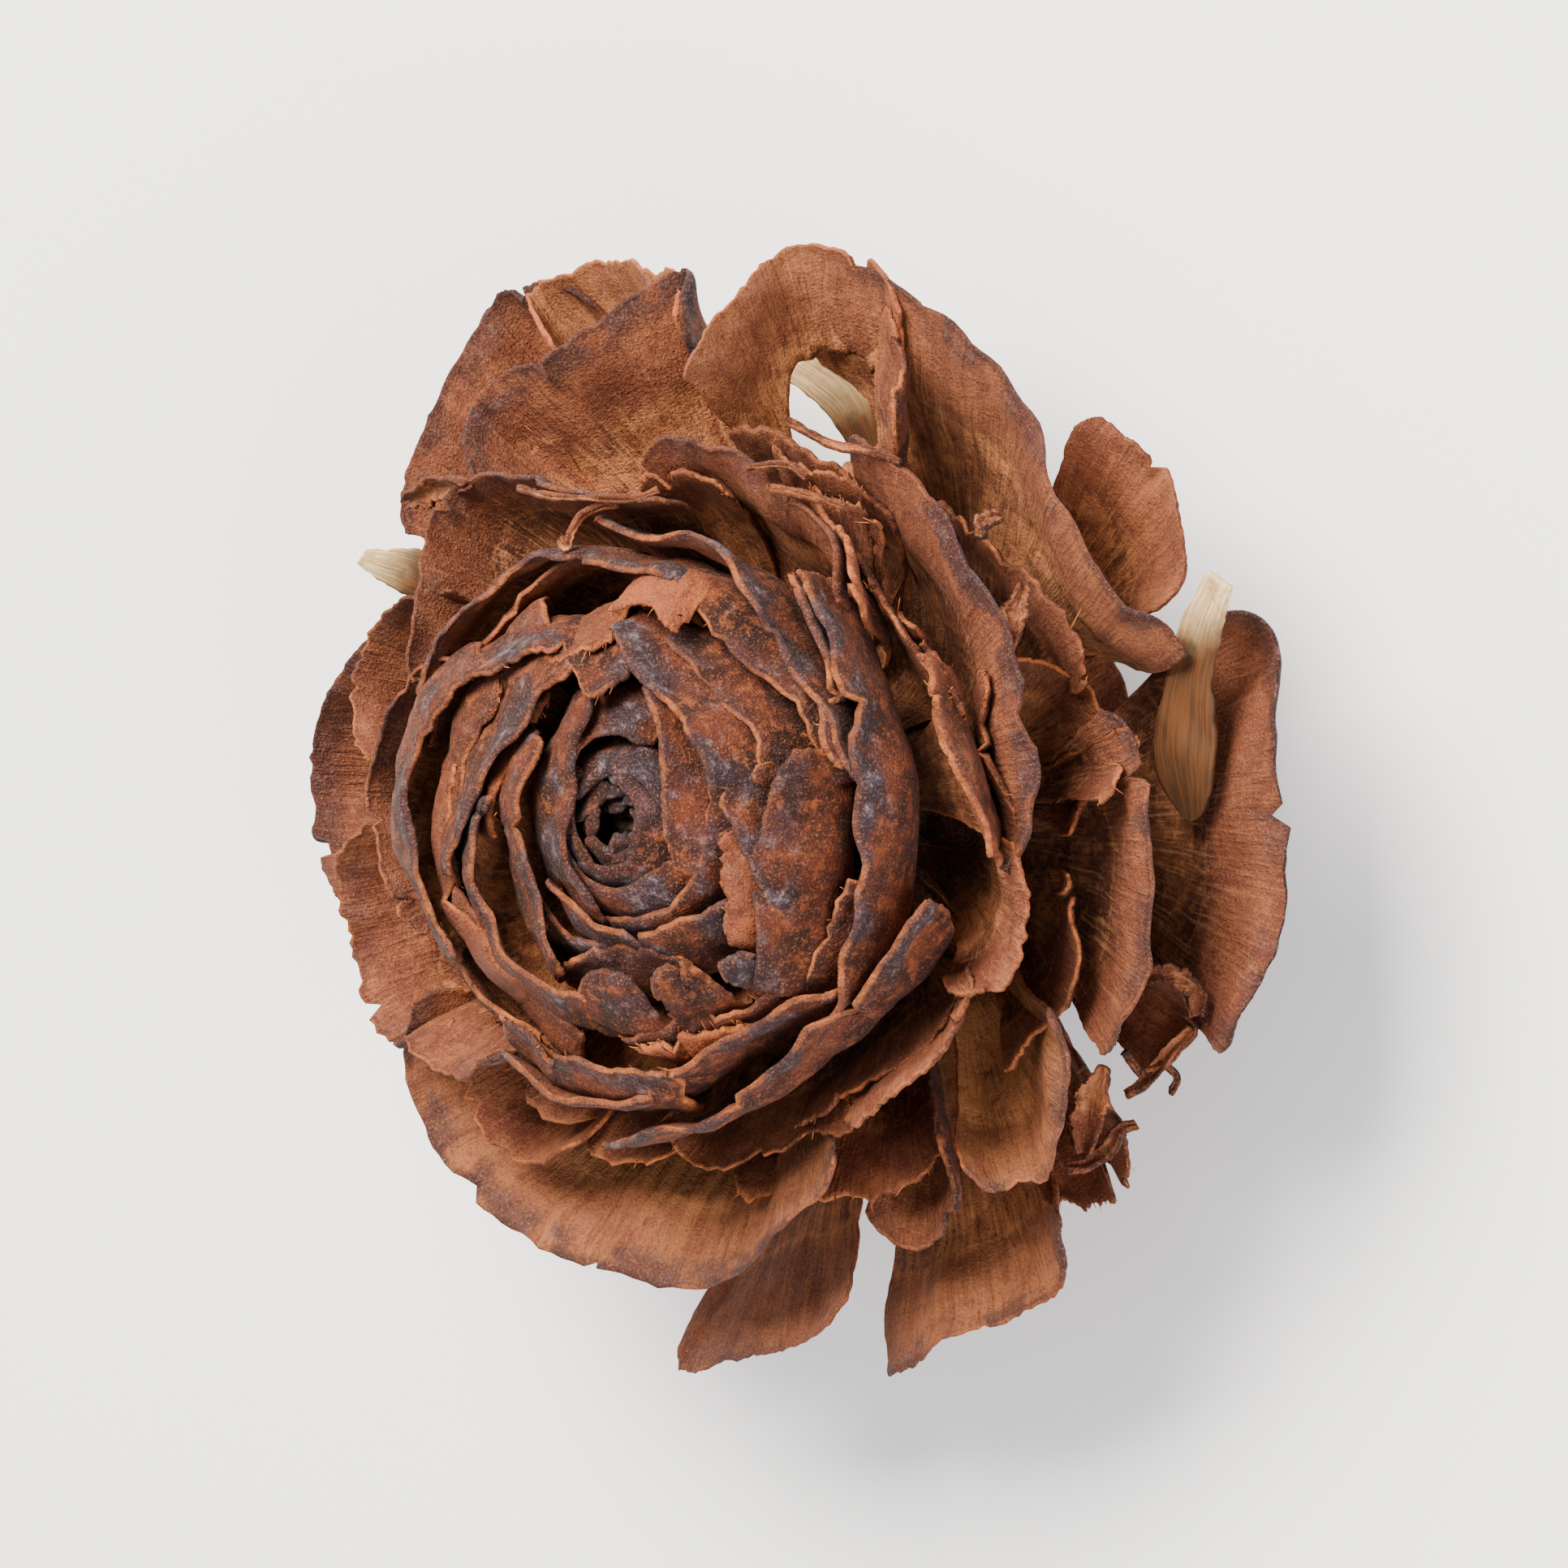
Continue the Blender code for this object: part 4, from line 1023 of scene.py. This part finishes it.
def make_wing(name, first, second, mat):
    """A seed's wing: a thin skin between its two long edges, with a frayed outline and soft ripples."""
    sheet = bmesh.new()
    place = sheet.verts.layers.float_vector.new("place")
    bmesh.ops.create_grid(sheet, x_segments=WING_COLUMNS, y_segments=WING_ROWS, size=0.5)
    for vert in sheet.verts:
        u, t = vert.co.x + 0.5, vert.co.y + 0.5
        fray = (0.12 + 0.3 * t * t) * ripple(t * 14, 3.0 + (u > 0.5)) * abs(2 * u - 1)
        u = 0.5 + (u - 0.5) * (1 - fray) * round_over(t, WING_ROUND)
        point = polar(*along(first, t)).lerp(polar(*along(second, t)), u)
        point.z += 0.22 * noise.noise(point * 0.5) + 0.18 * (1 - (2 * u - 1) ** 2)
        vert[place] = (u * 5, t * 5, 0)
        vert.co = point * MM
    thicken(make_piece("papery_" + name, sheet, (mat,), name), WING_MM, False)


def make_stage():
    bulk = bmesh.new()
    bmesh.ops.create_grid(bulk, x_segments=1, y_segments=1, size=FLOOR_HALF)
    mesh = bpy.data.meshes.new("floor")
    bulk.to_mesh(mesh)
    bulk.free()
    floor = bpy.data.objects.new("floor", mesh)
    bpy.context.scene.collection.objects.link(floor)
    mat, _, shader, _ = start_material("pale_matt_floor", 0.9, 0.2)
    shader.inputs["Base Color"].default_value = linear("F4F3F1")
    mesh.materials.append(mat)


def make_camera():
    lens = bpy.data.cameras.new("camera")
    camera = bpy.data.objects.new("camera", lens)
    bpy.context.scene.collection.objects.link(camera)
    lens.sensor_width = SENSOR_MM
    lens.lens = SENSOR_MM * DISTANCE * PX_PER_MM / FRAME_PX
    lens.clip_start = 0.01
    spot = (Vector(TARGET) + BACK * DISTANCE) * MM
    turn = Matrix((RIGHT, UP, BACK)).transposed().to_4x4()
    camera.matrix_world = Matrix.Translation(spot) @ turn
    bpy.context.scene.camera = camera


def make_light(name, way, distance, size, power, colour):
    lamp = bpy.data.lights.new(name, "AREA")
    lamp.energy = power
    lamp.size = size
    lamp.color = linear(colour)[:3]
    item = bpy.data.objects.new(name, lamp)
    bpy.context.scene.collection.objects.link(item)
    target = Vector(LIGHT_TARGET)
    item.location = target + (RIGHT * way[0] + UP * way[1] + BACK * way[2]).normalized() * distance
    item.rotation_euler = (target - item.location).to_track_quat("-Z", "Y").to_euler()


def make_world():
    world = bpy.data.worlds.new("studio")
    bpy.context.scene.world = world
    world.use_nodes = True
    ground = world.node_tree.nodes["Background"]
    ground.inputs["Color"].default_value = linear("FFFFFF")
    ground.inputs["Strength"].default_value = WORLD_LIGHT


def main():
    inner = scale_material("cedar_scale_inner_face", False)
    outer = scale_material("cedar_scale_velvet_face", True)
    make_scales(inner, outer, fibre_material())
    make_axis(axis_material())
    skin = wing_material()
    for name, first, second in WINGS:
        make_wing(name, first, second, skin)
    make_stage()
    make_camera()
    make_world()
    for light in LIGHTS:
        make_light(*light)


main()
